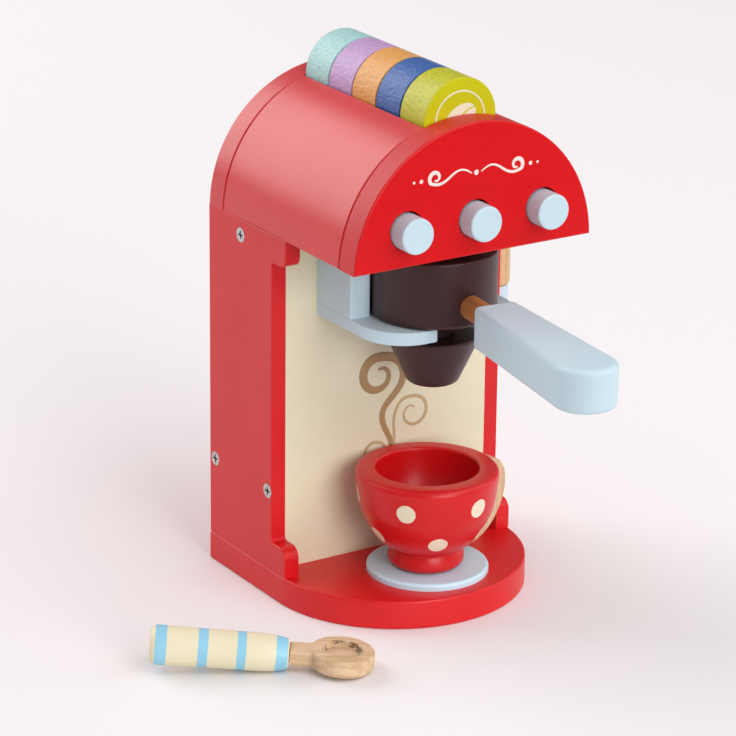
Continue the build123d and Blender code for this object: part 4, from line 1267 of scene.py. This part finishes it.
@dataclass(frozen=True)
class Studio:
    """Pale floor, soft light and the camera.

    Attributes:
        backdrop: hex colour of floor and surroundings.
        horizon: how bright the surroundings light the object from its own height and below,
            where 1 is white.
        zenith: the same from straight above.
        floor_side: length of the floor's side, in metres.
        floor_front: how far the floor reaches in front of the object, in metres.
        azimuth: the camera's, in degrees from the front towards +X.
        elevation: above the horizon, in degrees.
        roll: turn about the view's axis, in degrees.
        distance: from the aim point along the view's axis, in metres.
        aim: the point that the distance counts from, in millimetres.
        offset: how far the axis passes beside that point, right and up, in millimetres.
        lens: focal length, in millimetres on a 36 mm sensor.
        shift: vertical shift of the frame, as a share of its width.
    """

    backdrop: str = "F2EFF0"
    horizon: float = 0.12
    zenith: float = 0.72
    floor_side: float = 14.0
    floor_front: float = 0.42
    azimuth: float = -32.438
    elevation: float = 19.853
    roll: float = 0.657
    distance: float = 1577.1
    aim: tuple[float, float, float] = (0.0, -0.31, 130.0)
    offset: tuple[float, float] = (-12.409, -27.536)
    lens: float = 174.96
    shift: float = -1 / 736

    def camera(self) -> None:
        """Make the camera and set it as the scene's."""
        turn, rise, roll = (math.radians(a) for a in (self.azimuth, self.elevation, self.roll))
        back = Vector((math.sin(turn) * math.cos(rise), -math.cos(turn) * math.cos(rise),
                       math.sin(rise)))
        level = Vector((math.cos(turn), math.sin(turn), 0))
        upright = back.cross(level)
        right = level * math.cos(roll) + upright * math.sin(roll)
        up = upright * math.cos(roll) - level * math.sin(roll)
        place = (Vector(self.aim) + right * self.offset[0] + up * self.offset[1]
                 + back * self.distance) * MM
        data = bpy.data.cameras.new("camera")
        data.lens = self.lens
        data.sensor_width = 36.0
        data.shift_y = self.shift
        data.clip_start, data.clip_end = 0.05, 50.0
        camera = bpy.data.objects.new("camera", data)
        bpy.context.scene.collection.objects.link(camera)
        camera.matrix_world = Matrix.Translation(place) @ Matrix(
            (right, up, back)).transposed().to_4x4()
        bpy.context.scene.camera = camera

    def floor(self) -> None:
        """Make the floor: matt, with a plain pale colour and the object's shadow."""
        bm = bmesh.new()
        bmesh.ops.create_grid(bm, x_segments=1, y_segments=1, size=self.floor_side / 2)
        bmesh.ops.translate(bm, verts=bm.verts, vec=(0, self.floor_side / 2 - self.floor_front, 0))
        mesh = bpy.data.meshes.new("floor")
        bm.to_mesh(mesh)
        bm.free()
        # Wide seamless paper: wholly matt, so that it shows its colour and the shadow only.
        material, tree = new_material("matt_backdrop_paper")
        shader = add_node(tree, "BsdfDiffuse", None, {"Color": linear(self.backdrop)})
        add_node(tree, "OutputMaterial", None, {"Surface": shader.outputs["BSDF"]})
        mesh.materials.append(material)
        floor = bpy.data.objects.new("floor", mesh)
        bpy.context.scene.collection.objects.link(floor)

    def surroundings(self) -> None:
        """Light from all round, brighter from above, which the camera sees as the backdrop."""
        world = bpy.data.worlds.new("surroundings")
        world.use_nodes = True
        tree = world.node_tree
        tree.nodes.clear()
        colour = linear(self.backdrop)
        direction = add_node(tree, "TexCoord").outputs["Generated"]
        height = add_node(tree, "SeparateXYZ", None, {"Vector": direction}).outputs["Z"]
        strength = spread(tree, height, 0.1, 0.8, self.horizon, self.zenith)
        lighting = add_node(tree, "Background", None, {"Color": colour, "Strength": strength})
        seen = add_node(tree, "Background", None, {"Color": colour, "Strength": 1.0})
        camera_ray = add_node(tree, "LightPath").outputs["Is Camera Ray"]
        mixed = add_node(tree, "MixShader", None, {
            0: camera_ray, 1: lighting.outputs[0], 2: seen.outputs[0]})
        add_node(tree, "OutputWorld", None, {"Surface": mixed.outputs[0]})
        bpy.context.scene.world = world

    def lights(self) -> None:
        """A low key, a light above it, one from the right and one behind on the left."""
        for box in (Softbox("key_softbox", -4, 12, 3.0, 1.5, 5.7),
                    Softbox("upper_softbox", 16, 44, 3.0, 2.4, 1.6),
                    Softbox("side_softbox", 72, 20, 3.0, 2.2, 1.1),
                    Softbox("rear_softbox", -154, 27, 3.0, 2.4, 2.9)):
            box.build()

    def build(self) -> None:
        """Set the stage."""
        self.camera()
        self.floor()
        self.surroundings()
        self.lights()
        bpy.context.scene.view_settings.view_transform = "Standard"


def main() -> None:
    """Build the stage and every group of pieces in order."""
    logging.basicConfig(level=logging.INFO, format="%(name)s: %(message)s")
    for part in (Studio(), Casing(), Controls(), Pods(), TableWare()):
        LOG.info("building %s", type(part).__name__)
        part.build()


if __name__ == "__main__":
    main()
